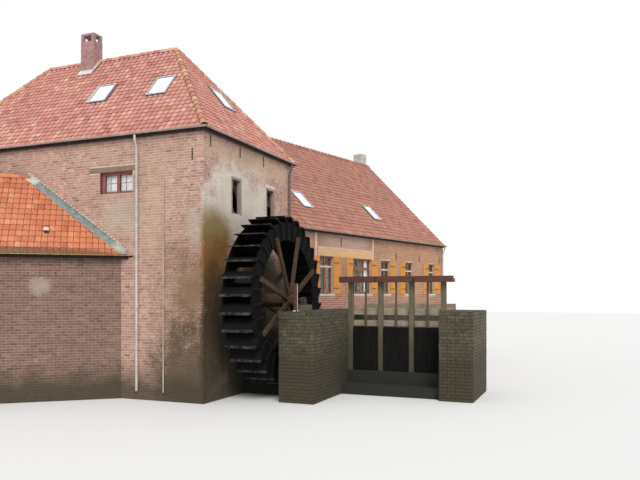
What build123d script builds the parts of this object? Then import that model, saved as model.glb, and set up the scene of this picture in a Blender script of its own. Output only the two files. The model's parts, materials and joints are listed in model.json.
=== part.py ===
from build123d import *
from math import ceil, cos, radians, sin, tan
import os

os.makedirs("parts", exist_ok=True)

# A brick watermill: a tall hipped mill block, a long low wing behind it, a tiled annex in front of it,
# a wheel beside the block between its wall and a masonry pier, and a three-bay sluice bridge.
# The origin is the foot of the block's corner beside the wheel, at tail-water level.
# X points out of the wheel wall, Y runs back along that wall, Z is up. Sizes are in millimetres.

# Mill block
mill_length = 13300
mill_depth = 6850
mill_wall = 450
mill_eave = 9350
mill_pitch = 50
mill_overhang = 100

# Wing: its front wall starts at the block's back wall and turns away from the Y axis
wing_step = 320
wing_turn = 14.4
wing_length = 13760
wing_width = 10400
wing_wall = 400
wing_eave = 6640
wing_pitch = 44.7
wing_overhang = 120

# Annex: its front wall leaves the block's front wall at an angle
annex_corner = 3360
annex_turn = 40
annex_back_length = 1917
annex_width = 5440
annex_wall = 350
annex_eave = 5240
annex_pitch = 46
annex_overhang = 200

# Roofs and floors
roof_depth = 120
ridge_tile_radius = 130
hip_tile_radius = 110
ground_floor = 3050
upper_floor = 5800
floor_depth = 220

# Windows: how far a frame stands back, and the sizes of its members
reveal = 110
frame_depth = 80
frame_face = 65
glass_thickness = 8

# Block's front window and its timber lintel, by distance from the corner beside the wheel
front_window_centre = 3575
front_window_sill = 7180
front_window_width = 1410
front_window_height = 770
front_lintel_width = 2060
front_lintel_shift = 140
front_lintel_height = 190

# Slot windows in the wheel wall, by distance from the same corner
slot_centres = (2175, 4900)
slot_sill = 6550
slot_width = 560
slot_height = 1220

# The most that one light of a window measures
light_width = 720
light_height = 900

# Wing windows: distance of each centre along the wall, the last one's from the gable, and its width
wing_window_centres = (2110, 5050, 7245, 9695)
wing_end_window = 1480
wing_window_widths = (1040, 1660, 850, 850, 740)
wing_window_sill = 3650
wing_window_height = 1700
sill_height = 90
sill_ends = 70
sill_nose = 60
sill_bed = 150
wing_lintel_start = 1450
wing_lintel_end = 5920
wing_lintel_height = 390
lintel_bed = 130
lintel_nose = 20

# Shutters hung at the edges of each wing window: the leaf's width and how far it stands open,
# at the left edge and at the right one (a width of 0 is no leaf)
wing_shutters = (
    ((420, 0), (580, 0)),
    ((520, 0), (540, 0)),
    ((0, 0), (540, 0)),
    ((560, 0), (0, 0)),
    ((580, 0), (680, 0)),
)
shutter_thickness = 36

# Roof windows: distance along the eave and up the slope to the centre of each,
# on the wheel end from the middle of its eave
front_skylights = ((-5650, 2680), (-2890, 2650))
end_skylights = ((575, 2600),)
wing_skylights = ((2060, 1930), (8010, 1870))
mill_skylight_width = 900
wing_skylight_width = 780
skylight_length = 1150
skylight_frame = 90
skylight_rise = 60

# Chimneys
mill_chimney_from_hip = 4110
mill_chimney_length = 670
mill_chimney_depth = 520
mill_chimney_forward = 150
mill_chimney_rise = 738
chimney_cap_height = 330
chimney_cap_slab = 80
chimney_cap_post = 130
chimney_root = 900
wing_chimney_from_gable = 460
wing_chimney_behind = 350
wing_chimney_length = 570
wing_chimney_depth = 600
wing_chimney_rise = 705

# Gutters and pipes
gutter_radius = 75
gutter_sheet = 6
gutter_gap = 0.3
gutter_drop = 30
downpipe_radius = 45
downpipe_neck = 420
downpipe_foot = 300
front_downpipe = 2650
side_downpipe = 250
wing_downpipe = 140
thin_pipe = 1560
thin_pipe_radius = 24
thin_pipe_top = 7560
pipe_gap = 30
clip_spacing = 1900
clip_height = 40
clip_width = 26
flashing_sheet = 6
flashing_width = 190
flashing_upstand = 110

# Iron wall anchors: distance along the wall, and height of the foot
front_anchors = ((-430, 8130),)
wheel_wall_anchors = ((430, 8620), (2450, 8620), (4320, 8620))
wing_anchors = ((3250, 5850), (8290, 5420), (10820, 5420))
wing_end_anchor = 510
anchor_width = 46
anchor_height = 400
anchor_thickness = 25

# Wheel
wheel_radius = 3000
wheel_centre_y = 2750
axle_z = 3430
wheel_gap = 625
wheel_width = 1310
bucket_count = 32
bucket_turn = 2.5
float_thickness = 42
float_lean = 48
knee_radius = 2700
rim_outer_radius = 2800
rim_inner_radius = 2150
rim_thickness = 70
arm_count = 8
arm_turn = 27.7
arm_width = 170
arm_thickness = 95
arm_root_radius = 262
arm_end_gap = 400
axle_radius = 260
axle_sides = 8
axle_end = 170
flange_radius = 470
flange_thickness = 45
gudgeon_radius = 60
gudgeon_clearance = 0.05
sole_share = 0.5
sole_thickness = 35

# Bearings
bearing_height = 170
bearing_width = 460
bearing_length = 150
bearing_shell = 55
bearing_base = 45
bearing_setback = 180
bearing_timber_length = 900
bearing_timber_side = 75
axle_hole = 900

# Masonry in the water
pier_left = 2150
pier_right = 3400
pier_front = 1300
masonry_setback = 250
pier_top = 3050
guard_x = 2560
guard_y = 1600
guard_width = 130
guard_height = 960
guard_thickness = 60
guard_foot = 560
breast_clearance = 60
breast_crest = 2400

# Sluice bridge
bay_count = 3
bay_width = 1170
post_size = 180
sluice_front = 4680
apron_front = 3900
apron_step_height = 350
apron_step_depth = 600
apron_top = 800
abutment_width = 1150
abutment_front = 3600
lower_beam_bottom = 2450
lower_beam_height = 220
lower_beam_depth = 140
fascia_height = 230
fascia_depth = 80
joist_width = 100
joist_height = 150
inner_joist_back = 900
plank_thickness = 50
kerb_height = 180
kerb_thickness = 60
headstock_bottom = 4080
headstock_height = 130
planter_height = 220
planter_depth = 230
planter_sheet = 22
planter_gap = 30
headstock_end = 300
planter_earth_drop = 40
groove_width = 70
groove_depth = 30
gate_thickness = 50
gate_clearance = 10
gate_seat = 0.3
gate_top = 2430
stem_size = 64
stem_above = 90

# Directions and places worked out from the sizes above
up = Vector(0, 0, 1)
mill_corner = Vector(0, 0, 0)
mill_left_corner = Vector(-mill_length, 0, 0)
mill_far_corner = Vector(0, mill_depth, 0)
mill_far_left_corner = Vector(-mill_length, mill_depth, 0)
wing_along = Vector(sin(radians(wing_turn)), cos(radians(wing_turn)), 0)
wing_inward = up.cross(wing_along)
wing_corner = Vector(wing_step, mill_depth, 0)
annex_along = Vector(cos(radians(annex_turn)), sin(radians(annex_turn)), 0)
annex_inward = up.cross(annex_along)
annex_length = annex_back_length + annex_width / tan(radians(annex_turn))
annex_far_corner = Vector(-annex_corner, 0, 0) - annex_along * annex_length
mill_slab = roof_depth / cos(radians(mill_pitch))
wing_slab = roof_depth / cos(radians(wing_pitch))
annex_slab = roof_depth / cos(radians(annex_pitch))
mill_ridge = mill_eave + mill_depth / 2 * tan(radians(mill_pitch))
mill_chimney_top = mill_ridge + mill_chimney_rise
masonry_back = mill_depth - masonry_setback
wing_ridge = wing_eave + wing_width / 2 * tan(radians(wing_pitch))
wing_chimney_top = wing_ridge + wing_chimney_rise
annex_ridge = annex_eave + annex_width / 2 * tan(radians(annex_pitch))
# The wing's pieces start this far before its corner and are cut off at the block
back_reach = wing_width


def wall_face(corner, along):
    # Outer face of a wall: x runs along it, y is up, z points outwards
    return Plane(origin=corner, x_dir=along, z_dir=along.cross(up))


def section_plane(corner, along):
    # Cross-section of a wall: x points into the building, y is up, z runs along the wall
    return Plane(origin=corner, x_dir=up.cross(along), z_dir=along)


def wall_section(wall, eave, slab, pitch):
    rise = tan(radians(pitch))
    return [(0, 0), (wall, 0), (wall, eave - slab + wall * rise), (0, eave - slab)]


def slope_section(eave, slab, pitch, overhang, run):
    rise = tan(radians(pitch))
    edge = eave - overhang * rise
    ridge = eave + run * rise
    return [(-overhang, edge - slab), (run, ridge - slab), (run, ridge), (-overhang, edge)]


def outline(points):
    with BuildSketch() as drawn:
        with BuildLine():
            Polyline(*points, close=True)
        make_face()
    return drawn.sketch


def gutter_section(eave, pitch, overhang):
    # An open half-round gutter just outside the edge of a roof slope
    edge = eave - overhang * tan(radians(pitch))
    with BuildSketch() as drawn:
        with Locations((-overhang - gutter_radius - gutter_gap, edge - gutter_drop)):
            Circle(gutter_radius)
            Circle(gutter_radius - gutter_sheet, mode=Mode.SUBTRACT)
            Rectangle(
                2 * gutter_radius,
                gutter_radius,
                align=(Align.CENTER, Align.MIN),
                mode=Mode.SUBTRACT,
            )
    return drawn.sketch


def run_along(section, corner, along, length):
    # A cross-section of one side of a building, run along it from a corner
    with BuildPart() as side:
        with BuildSketch(section_plane(corner, along)):
            add(section)
        extrude(amount=length)
    return side.part


def hipped_side(section, corner, along, length, reach):
    # The same on one side of a hipped building, mitred at both of its corners
    start = corner - along * reach
    inward = up.cross(along)
    with BuildPart() as side:
        add(run_along(section, start, along, length + 2 * reach))
        split(bisect_by=Plane(origin=corner, z_dir=along - inward), keep=Keep.TOP)
        end = corner + along * length
        split(bisect_by=Plane(origin=end, z_dir=-along - inward), keep=Keep.TOP)
    return side.part


def blocks(face, rectangles, back, front):
    # Blocks on a wall face, each given by its centre, bottom, width and height
    with BuildPart() as made:
        with BuildSketch(face.offset(-back)):
            for centre, bottom, width, height in rectangles:
                with Locations((centre, bottom)):
                    Rectangle(width, height, align=(Align.CENTER, Align.MIN))
        extrude(amount=back + front)
    return made.part


def window_lights(width, height):
    # Size and number of the lights that a window is divided into
    columns = ceil(width / light_width)
    rows = ceil(height / light_height)
    pane_width = (width - (columns + 1) * frame_face) / columns
    pane_height = (height - (rows + 1) * frame_face) / rows
    return pane_width, pane_height, columns, rows


def window_frame(face, centre, sill, width, height):
    # A frame with its mullions and transoms, standing back from the wall face
    pane_width, pane_height, columns, rows = window_lights(width, height)
    with BuildPart() as made:
        with BuildSketch(face.offset(-reveal - frame_depth)):
            with Locations((centre, sill + height / 2)):
                Rectangle(width, height)
                with GridLocations(pane_width + frame_face, pane_height + frame_face, columns, rows):
                    Rectangle(pane_width, pane_height, mode=Mode.SUBTRACT)
        extrude(amount=frame_depth)
    return made.part


def window_panes(face, centre, sill, width, height):
    # One sheet of glass in each light of the frame
    pane_width, pane_height, columns, rows = window_lights(width, height)
    with BuildPart() as made:
        with BuildSketch(face.offset(-reveal - frame_depth / 2 - glass_thickness / 2)):
            with Locations((centre, sill + height / 2)):
                with GridLocations(pane_width + frame_face, pane_height + frame_face, columns, rows):
                    Rectangle(pane_width, pane_height)
        extrude(amount=glass_thickness)
    return made.part


def slope_plane(corner, along, eave, pitch):
    # Outer surface of a roof slope: x runs along the eave, y climbs the slope, z points out of it
    inward = up.cross(along)
    climb = inward * cos(radians(pitch)) + up * sin(radians(pitch))
    return Plane(origin=corner + up * eave, x_dir=along, z_dir=along.cross(climb))


def pipe(points, radius):
    # A pipe through the given points, mitred where it turns
    with BuildPart() as made:
        with BuildLine() as route:
            Polyline(*points)
        with BuildSketch(Plane(origin=route.line @ 0, z_dir=route.line % 0)):
            Circle(radius)
        sweep(transition=Transition.RIGHT)
    return made.part


# Outer shapes of the roofs, used to trim what meets them
mill_sides = (
    (mill_left_corner, Vector(1, 0, 0), mill_length),
    (mill_corner, Vector(0, 1, 0), mill_depth),
    (mill_far_corner, Vector(-1, 0, 0), mill_length),
    (mill_far_left_corner, Vector(0, -1, 0), mill_depth),
)
mill_run = mill_depth / 2
mill_wall_outline = outline(wall_section(mill_wall, mill_eave, mill_slab, mill_pitch))
mill_slope_points = slope_section(mill_eave, mill_slab, mill_pitch, mill_overhang, mill_run)
mill_slope_outline = outline(mill_slope_points)
mill_under_outline = outline([(-mill_overhang, 0), (mill_run, 0)] + mill_slope_points[2:])

wing_run = wing_width / 2
wing_slope_points = slope_section(wing_eave, wing_slab, wing_pitch, wing_overhang, wing_run)
wing_slope_outline = outline(wing_slope_points)
wing_wall_outline = outline(wall_section(wing_wall, wing_eave, wing_slab, wing_pitch))
wing_back_corner = wing_corner + wing_inward * wing_width
wing_start = wing_corner - wing_along * back_reach
wing_back_start = wing_back_corner + wing_along * wing_length
annex_run = annex_width / 2
annex_slope_points = slope_section(annex_eave, annex_slab, annex_pitch, annex_overhang, annex_run)
annex_slope_outline = outline(annex_slope_points)
annex_wall_outline = outline(wall_section(annex_wall, annex_eave, annex_slab, annex_pitch))
annex_back_corner = annex_far_corner + annex_inward * annex_width
annex_reach = annex_length + annex_width

with BuildPart() as mill_envelope:
    for corner, along, length in mill_sides:
        add(hipped_side(mill_under_outline, corner, along, length, mill_overhang))

wing_eave_edge = wing_slope_points[3]
with BuildPart() as wing_prism:
    wing_points = [
        (-wing_overhang, 0),
        (wing_width + wing_overhang, 0),
        (wing_width + wing_overhang, wing_eave_edge[1]),
        (wing_run, wing_ridge),
        wing_eave_edge,
    ]
    add(run_along(outline(wing_points), wing_start, wing_along, back_reach + wing_length))

behind_mill = Plane(origin=mill_far_corner, z_dir=(0, 1, 0))
behind_ridge = Plane(origin=(0, mill_run, 0), z_dir=(0, 1, 0))
with BuildPart() as wing_envelope:
    add(wing_prism.part)
    split(bisect_by=behind_mill, keep=Keep.TOP)

# Everything in front of the block's back wall and below its eave, where the wing can't reach
with BuildPart() as beside_mill:
    with Locations((0, mill_depth, 0)):
        Box(
            2 * mill_length,
            2 * mill_length,
            2 * (mill_eave - mill_slab),
            align=(Align.CENTER, Align.MAX, Align.CENTER),
        )

# Chimney shafts as plain blocks, used to trim the roofs round them
mill_chimney_x = -mill_run - mill_chimney_from_hip
mill_chimney_y = mill_run - mill_chimney_forward
with BuildPart() as mill_shaft:
    with BuildSketch(Plane.XY.offset(mill_ridge - chimney_root)):
        with Locations((mill_chimney_x, mill_chimney_y)):
            Rectangle(mill_chimney_length, mill_chimney_depth)
    extrude(amount=mill_chimney_top - mill_ridge + chimney_root)

wing_ridge_end = wing_corner + wing_inward * wing_run + wing_along * wing_length
wing_chimney_place = wing_ridge_end - wing_along * wing_chimney_from_gable + wing_inward * wing_chimney_behind
with BuildPart() as wing_shaft:
    with BuildSketch(
        Plane(origin=wing_chimney_place + up * (wing_ridge - chimney_root), x_dir=wing_along)
    ):
        Rectangle(wing_chimney_length, wing_chimney_depth)
    extrude(amount=wing_chimney_top - wing_ridge + chimney_root)

# Faces that carry windows and fittings
front_face = wall_face(mill_corner, Vector(1, 0, 0))
wheel_face = wall_face(mill_corner, Vector(0, 1, 0))
wing_face = wall_face(wing_corner, wing_along)

front_windows = [(-front_window_centre, front_window_sill, front_window_width, front_window_height)]
slot_windows = [(centre, slot_sill, slot_width, slot_height) for centre in slot_centres]
wing_windows = [
    (centre, wing_window_sill, width, wing_window_height)
    for centre, width in zip(
        wing_window_centres + (wing_length - wing_end_window,), wing_window_widths
    )
]
front_lintels = [
    (
        -front_window_centre - front_lintel_shift,
        front_window_sill + front_window_height,
        front_lintel_width,
        front_lintel_height,
    )
]
wing_lintel_width = wing_lintel_end - wing_lintel_start
wing_lintels = [
    (
        wing_lintel_start + wing_lintel_width / 2,
        wing_window_sill + wing_window_height,
        wing_lintel_width,
        wing_lintel_height,
    )
]
wing_sills = [
    (centre, sill - sill_height, width + 2 * sill_ends, sill_height)
    for centre, sill, width, height in wing_windows
]

end_skylight_places = [(mill_run + shift, climb) for shift, climb in end_skylights]
front_slope = slope_plane(mill_corner, Vector(1, 0, 0), mill_eave, mill_pitch)
end_slope = slope_plane(mill_corner, Vector(0, 1, 0), mill_eave, mill_pitch)
wing_slope = slope_plane(wing_corner, wing_along, wing_eave, wing_pitch)


skylights = (
    (front_slope, front_skylights, mill_skylight_width),
    (end_slope, end_skylight_places, mill_skylight_width),
    (wing_slope, wing_skylights, wing_skylight_width),
)


def skylight_holes(slope, places, width):
    with BuildPart() as made:
        with BuildSketch(slope.offset(-2 * roof_depth)):
            with Locations(*places):
                Rectangle(width, skylight_length)
        extrude(amount=3 * roof_depth)
    return made.part


# Mill block walls
with BuildPart() as mill_front_wall:
    add(hipped_side(mill_wall_outline, mill_left_corner, Vector(1, 0, 0), mill_length, 0))
    add(blocks(front_face, front_windows, mill_wall, 1), mode=Mode.SUBTRACT)
    add(blocks(front_face, front_lintels, lintel_bed, 1), mode=Mode.SUBTRACT)

with BuildPart() as mill_wheel_wall:
    add(hipped_side(mill_wall_outline, mill_corner, Vector(0, 1, 0), mill_depth, 0))
    add(blocks(wheel_face, slot_windows, mill_wall, 1), mode=Mode.SUBTRACT)
    axle_opening = [(wheel_centre_y, pier_top, axle_hole, axle_hole)]
    add(blocks(wheel_face, axle_opening, mill_wall, 1), mode=Mode.SUBTRACT)

with BuildPart() as mill_back_wall:
    add(hipped_side(mill_wall_outline, mill_far_corner, Vector(-1, 0, 0), mill_length, 0))

with BuildPart() as mill_end_wall:
    add(hipped_side(mill_wall_outline, mill_far_left_corner, Vector(0, -1, 0), mill_depth, 0))

with BuildPart() as mill_floors:
    for level in (ground_floor, upper_floor):
        with BuildSketch(Plane.XY.offset(level - floor_depth)):
            with Locations((-mill_length / 2, mill_depth / 2)):
                Rectangle(mill_length - 2 * mill_wall, mill_depth - 2 * mill_wall)
        extrude(amount=floor_depth)

# Mill block roof
with BuildPart() as mill_roof_front:
    add(hipped_side(mill_slope_outline, mill_left_corner, Vector(1, 0, 0), mill_length, mill_overhang))
    add(skylight_holes(*skylights[0]), mode=Mode.SUBTRACT)
    add(mill_shaft.part, mode=Mode.SUBTRACT)

with BuildPart() as mill_roof_wheel_end:
    add(hipped_side(mill_slope_outline, mill_corner, Vector(0, 1, 0), mill_depth, mill_overhang))
    add(skylight_holes(*skylights[1]), mode=Mode.SUBTRACT)

with BuildPart() as mill_roof_back:
    add(hipped_side(mill_slope_outline, mill_far_corner, Vector(-1, 0, 0), mill_length, mill_overhang))
    add(mill_shaft.part, mode=Mode.SUBTRACT)
    add(wing_envelope.part, mode=Mode.SUBTRACT)

with BuildPart() as mill_roof_far_end:
    far_start = mill_far_left_corner
    add(hipped_side(mill_slope_outline, far_start, Vector(0, -1, 0), mill_depth, mill_overhang))

ridge_left = Vector(-mill_length + mill_run, mill_run, mill_ridge)
ridge_right = Vector(-mill_run, mill_run, mill_ridge)
eave_drop = mill_overhang * tan(radians(mill_pitch))
with BuildPart() as mill_ridge_tiles:
    with BuildSketch(Plane(origin=ridge_left, z_dir=(1, 0, 0))):
        Circle(ridge_tile_radius)
    extrude(amount=mill_length - 2 * mill_run)
    for apex, side in ((ridge_left, -1), (ridge_right, 1)):
        with Locations(apex):
            Sphere(ridge_tile_radius)
        for end in (-1, 1):
            reach = mill_run + mill_overhang
            foot = apex + Vector(side * reach, end * reach, -reach * tan(radians(mill_pitch)))
            with BuildSketch(Plane(origin=foot, z_dir=apex - foot)):
                Circle(hip_tile_radius)
            extrude(amount=(apex - foot).length)
    add(mill_envelope.part, mode=Mode.SUBTRACT)
    add(mill_shaft.part, mode=Mode.SUBTRACT)
    split(bisect_by=Plane.XY.offset(mill_eave - eave_drop), keep=Keep.TOP)

with BuildPart() as mill_chimney:
    add(mill_shaft.part)
    with BuildSketch(Plane.XY.offset(mill_chimney_top)):
        with Locations((mill_chimney_x, mill_chimney_y)):
            post_spacing_x = mill_chimney_length - chimney_cap_post
            post_spacing_y = mill_chimney_depth - chimney_cap_post
            with GridLocations(post_spacing_x, post_spacing_y, 2, 2):
                Rectangle(chimney_cap_post, chimney_cap_post)
    extrude(amount=chimney_cap_height - chimney_cap_slab)
    with BuildSketch(Plane.XY.offset(mill_chimney_top + chimney_cap_height - chimney_cap_slab)):
        with Locations((mill_chimney_x, mill_chimney_y)):
            Rectangle(mill_chimney_length, mill_chimney_depth)
    extrude(amount=chimney_cap_slab)

# Wing walls
with BuildPart() as wing_front_wall:
    wing_wall_length = back_reach + wing_length - wing_wall
    add(run_along(wing_wall_outline, wing_start, wing_along, wing_wall_length))
    split(bisect_by=behind_mill, keep=Keep.TOP)
    add(blocks(wing_face, wing_windows, wing_wall, 1), mode=Mode.SUBTRACT)
    add(blocks(wing_face, wing_lintels, lintel_bed, 1), mode=Mode.SUBTRACT)
    add(blocks(wing_face, wing_sills, sill_bed, 1), mode=Mode.SUBTRACT)

with BuildPart() as wing_back_wall:
    back_wall_start = wing_back_start - wing_along * wing_wall
    add(run_along(wing_wall_outline, back_wall_start, -wing_along, wing_wall_length))
    split(bisect_by=behind_mill, keep=Keep.TOP)

with BuildPart() as wing_gable_wall:
    gable_points = [
        (0, 0),
        (wing_width, 0),
        (wing_width, wing_eave - wing_slab),
        (wing_run, wing_ridge - wing_slab),
        (0, wing_eave - wing_slab),
    ]
    gable_foot = wing_corner + wing_along * (wing_length - wing_wall)
    add(run_along(outline(gable_points), gable_foot, wing_along, wing_wall))
    add(wing_shaft.part, mode=Mode.SUBTRACT)

with BuildPart() as wing_floor:
    floor_start = wing_start + wing_inward * wing_wall
    with BuildSketch(
        Plane(origin=floor_start + up * (ground_floor - floor_depth), x_dir=wing_along)
    ):
        Rectangle(
            wing_length + back_reach - wing_wall,
            wing_width - 2 * wing_wall,
            align=(Align.MIN, Align.MIN),
        )
    extrude(amount=floor_depth)
    split(bisect_by=behind_mill, keep=Keep.TOP)

# Wing roof
with BuildPart() as wing_roof_front:
    add(run_along(wing_slope_outline, wing_start, wing_along, back_reach + wing_length))
    split(bisect_by=behind_ridge, keep=Keep.TOP)
    add(mill_envelope.part, mode=Mode.SUBTRACT)
    add(beside_mill.part, mode=Mode.SUBTRACT)
    add(skylight_holes(*skylights[2]), mode=Mode.SUBTRACT)
    add(wing_shaft.part, mode=Mode.SUBTRACT)

with BuildPart() as wing_roof_back:
    add(run_along(wing_slope_outline, wing_back_start, -wing_along, back_reach + wing_length))
    split(bisect_by=behind_ridge, keep=Keep.TOP)
    add(mill_envelope.part, mode=Mode.SUBTRACT)
    add(beside_mill.part, mode=Mode.SUBTRACT)
    add(wing_shaft.part, mode=Mode.SUBTRACT)

with BuildPart() as wing_ridge_tiles:
    ridge_start = wing_ridge_end + up * wing_ridge - wing_along * (wing_length + back_reach)
    with BuildSketch(Plane(origin=ridge_start, z_dir=wing_along)):
        Circle(ridge_tile_radius)
    extrude(amount=wing_length + back_reach)
    split(bisect_by=behind_ridge, keep=Keep.TOP)
    add(wing_prism.part, mode=Mode.SUBTRACT)
    add(mill_envelope.part, mode=Mode.SUBTRACT)
    add(wing_shaft.part, mode=Mode.SUBTRACT)
    add(mill_ridge_tiles.part, mode=Mode.SUBTRACT)

with BuildPart() as wing_chimney:
    add(wing_shaft.part)

# Annex, between the block's front wall and its own gable
before_mill = Plane(origin=mill_corner, z_dir=(0, -1, 0))
annex_inner_corner = annex_far_corner + annex_along * annex_wall
annex_back_start = annex_back_corner + annex_along * annex_reach
with BuildPart() as annex_front_wall:
    add(run_along(annex_wall_outline, annex_inner_corner, annex_along, annex_reach))
    split(bisect_by=before_mill, keep=Keep.TOP)

with BuildPart() as annex_back_wall:
    annex_back_reach = annex_reach - annex_wall
    add(run_along(annex_wall_outline, annex_back_start, -annex_along, annex_back_reach))
    split(bisect_by=before_mill, keep=Keep.TOP)

with BuildPart() as annex_gable_wall:
    annex_gable_points = [
        (0, 0),
        (annex_width, 0),
        (annex_width, annex_eave - annex_slab),
        (annex_run, annex_ridge - annex_slab),
        (0, annex_eave - annex_slab),
    ]
    add(run_along(outline(annex_gable_points), annex_far_corner, annex_along, annex_wall))

with BuildPart() as annex_roof_front:
    add(run_along(annex_slope_outline, annex_far_corner, annex_along, annex_reach))
    split(bisect_by=before_mill, keep=Keep.TOP)

with BuildPart() as annex_roof_back:
    add(run_along(annex_slope_outline, annex_back_start, -annex_along, annex_reach))
    split(bisect_by=before_mill, keep=Keep.TOP)

with BuildPart() as annex_ridge_tiles:
    annex_ridge_start = annex_far_corner + annex_inward * annex_run + up * annex_ridge
    with BuildSketch(Plane(origin=annex_ridge_start, z_dir=annex_along)):
        Circle(ridge_tile_radius)
    extrude(amount=annex_reach)
    split(bisect_by=before_mill, keep=Keep.TOP)
    loft_points = [(0, annex_eave), (annex_width, annex_eave), (annex_run, annex_ridge)]
    loft = run_along(outline(loft_points), annex_far_corner, annex_along, annex_reach)
    add(loft, mode=Mode.SUBTRACT)


def flashing(points, height, width):
    # A strip on the annex's roof along the block's wall: its height over the slope, and its width
    edge, ridge = points[3], points[2]
    raised = [edge, ridge, (ridge[0], ridge[1] + height), (edge[0], edge[1] + height)]
    with BuildPart() as made:
        add(run_along(outline(raised), annex_far_corner, annex_along, annex_reach))
        add(run_along(outline(raised), annex_back_start, -annex_along, annex_reach))
        split(bisect_by=before_mill, keep=Keep.TOP)
        split(bisect_by=Plane(origin=(0, -width, 0), z_dir=(0, 1, 0)), keep=Keep.TOP)
    return made.part


with BuildPart() as annex_flashing:
    add(flashing(annex_slope_points, flashing_sheet, flashing_width))
    add(flashing(annex_slope_points, flashing_upstand, flashing_sheet))
    add(annex_ridge_tiles.part, mode=Mode.SUBTRACT)

# Windows
windows = ((front_face, front_windows), (wheel_face, slot_windows), (wing_face, wing_windows))
with BuildPart() as window_frames:
    for face, openings in windows:
        for opening in openings:
            add(window_frame(face, *opening))

with BuildPart() as window_glass:
    for face, openings in windows:
        for opening in openings:
            add(window_panes(face, *opening))

with BuildPart() as lintels:
    add(blocks(front_face, front_lintels, lintel_bed, lintel_nose))
    add(blocks(wing_face, wing_lintels, lintel_bed, lintel_nose))

with BuildPart() as window_sills:
    add(blocks(wing_face, wing_sills, sill_bed, sill_nose))

with BuildPart() as shutters:
    for (centre, sill, opening_width, height), leaves in zip(wing_windows, wing_shutters):
        for side, (width, angle) in zip((-1, 1), leaves):
            if width:
                hinge = wing_corner + wing_along * (centre + side * opening_width / 2)
                leaf_face = wall_face(hinge, wing_along.rotate(Axis.Z, -side * angle))
                leaf = (side * width / 2, sill, width, height)
                add(blocks(leaf_face, [leaf], 0, shutter_thickness))

# Roof windows
with BuildPart() as skylight_frames:
    for slope, places, width in skylights:
        with BuildSketch(slope.offset(-roof_depth)):
            with Locations(*places):
                Rectangle(width, skylight_length)
                inner_width = width - 2 * skylight_frame
                inner_length = skylight_length - 2 * skylight_frame
                Rectangle(inner_width, inner_length, mode=Mode.SUBTRACT)
        extrude(amount=roof_depth + skylight_rise)

with BuildPart() as skylight_glass:
    for slope, places, width in skylights:
        with BuildSketch(slope.offset(skylight_rise / 2)):
            with Locations(*places):
                Rectangle(width - 2 * skylight_frame, skylight_length - 2 * skylight_frame)
        extrude(amount=glass_thickness)

# Gutters
mill_gutter = gutter_section(mill_eave, mill_pitch, mill_overhang)
wing_gutter = gutter_section(wing_eave, wing_pitch, wing_overhang)
annex_gutter = gutter_section(annex_eave, annex_pitch, annex_overhang)
mill_reach = mill_overhang + 2 * gutter_radius + gutter_gap
with BuildPart() as mill_gutters:
    for corner, along, length in mill_sides:
        add(hipped_side(mill_gutter, corner, along, length, mill_reach))
    add(wing_envelope.part, mode=Mode.SUBTRACT)

with BuildPart() as wing_back_gutter:
    add(run_along(wing_gutter, wing_back_start, -wing_along, back_reach + wing_length))
    split(bisect_by=behind_mill, keep=Keep.TOP)

with BuildPart() as annex_gutters:
    add(run_along(annex_gutter, annex_far_corner, annex_along, annex_reach))
    add(run_along(annex_gutter, annex_back_start, -annex_along, annex_reach))
    split(bisect_by=before_mill, keep=Keep.TOP)

with BuildPart() as gutters:
    add(mill_gutters.part)
    wing_gutter_start = wing_corner + wing_along * pipe_gap
    add(run_along(wing_gutter, wing_gutter_start, wing_along, wing_length - pipe_gap))
    add(wing_back_gutter.part)
    add(annex_gutters.part)


def clips(face, place, radius, foot, top):
    # Lugs that hold an upright pipe off its wall
    reach = pipe_gap + radius
    count = int((top - foot) / clip_spacing)
    spacing = (top - foot) / count
    lugs = [(place, foot + (level + 0.5) * spacing, clip_width, clip_height) for level in range(count)]
    return blocks(face, lugs, 0, reach)


def downpipe(face, place, eave, pitch, overhang, foot):
    # From under a gutter in to the wall by a swan neck, and down the wall to its foot
    out = overhang + gutter_radius + gutter_gap
    outlet = eave - overhang * tan(radians(pitch)) - gutter_drop - gutter_radius
    near = pipe_gap + downpipe_radius
    points = [
        (place, outlet, out),
        (place, outlet - 3 * downpipe_radius, out),
        (place, outlet - downpipe_neck, near),
        (place, foot, near),
    ]
    route = [face.from_local_coords(Vector(*point)) for point in points]
    straps = clips(face, place, downpipe_radius, foot, outlet - downpipe_neck)
    with BuildPart() as made:
        add(pipe(route, downpipe_radius))
        add(straps)
    return made.part


side_pipe_foot = wing_eave + 2 * gutter_radius
thin_pipe_out = pipe_gap + thin_pipe_radius
with BuildPart() as downpipes:
    add(downpipe(front_face, -front_downpipe, mill_eave, mill_pitch, mill_overhang, downpipe_foot))
    side_pipe_place = mill_depth - side_downpipe
    add(downpipe(wheel_face, side_pipe_place, mill_eave, mill_pitch, mill_overhang, side_pipe_foot))
    wing_pipe_place = wing_length - wing_downpipe
    add(downpipe(wing_face, wing_pipe_place, wing_eave, wing_pitch, wing_overhang, downpipe_foot))
    with BuildSketch(Plane.XY.offset(downpipe_foot)):
        with Locations((-thin_pipe, -thin_pipe_out)):
            Circle(thin_pipe_radius)
    extrude(amount=thin_pipe_top - downpipe_foot)
    add(clips(front_face, -thin_pipe, thin_pipe_radius, downpipe_foot, thin_pipe_top))

with BuildPart() as wall_anchors:
    for face, places in (
        (front_face, front_anchors),
        (wheel_face, wheel_wall_anchors),
        (wing_face, (*wing_anchors, (wing_length - wing_end_anchor, wing_anchors[-1][-1]))),
    ):
        bars = [(along, foot, anchor_width, anchor_height) for along, foot in places]
        add(blocks(face, bars, 0, anchor_thickness))

# Masonry between the wheel wall and the right bank
with BuildPart() as mid_pier:
    with BuildSketch(Plane.XY):
        with Locations((pier_left, pier_front)):
            Rectangle(
                pier_right - pier_left,
                masonry_back - pier_front,
                align=(Align.MIN, Align.MIN),
            )
    extrude(amount=pier_top)

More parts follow.
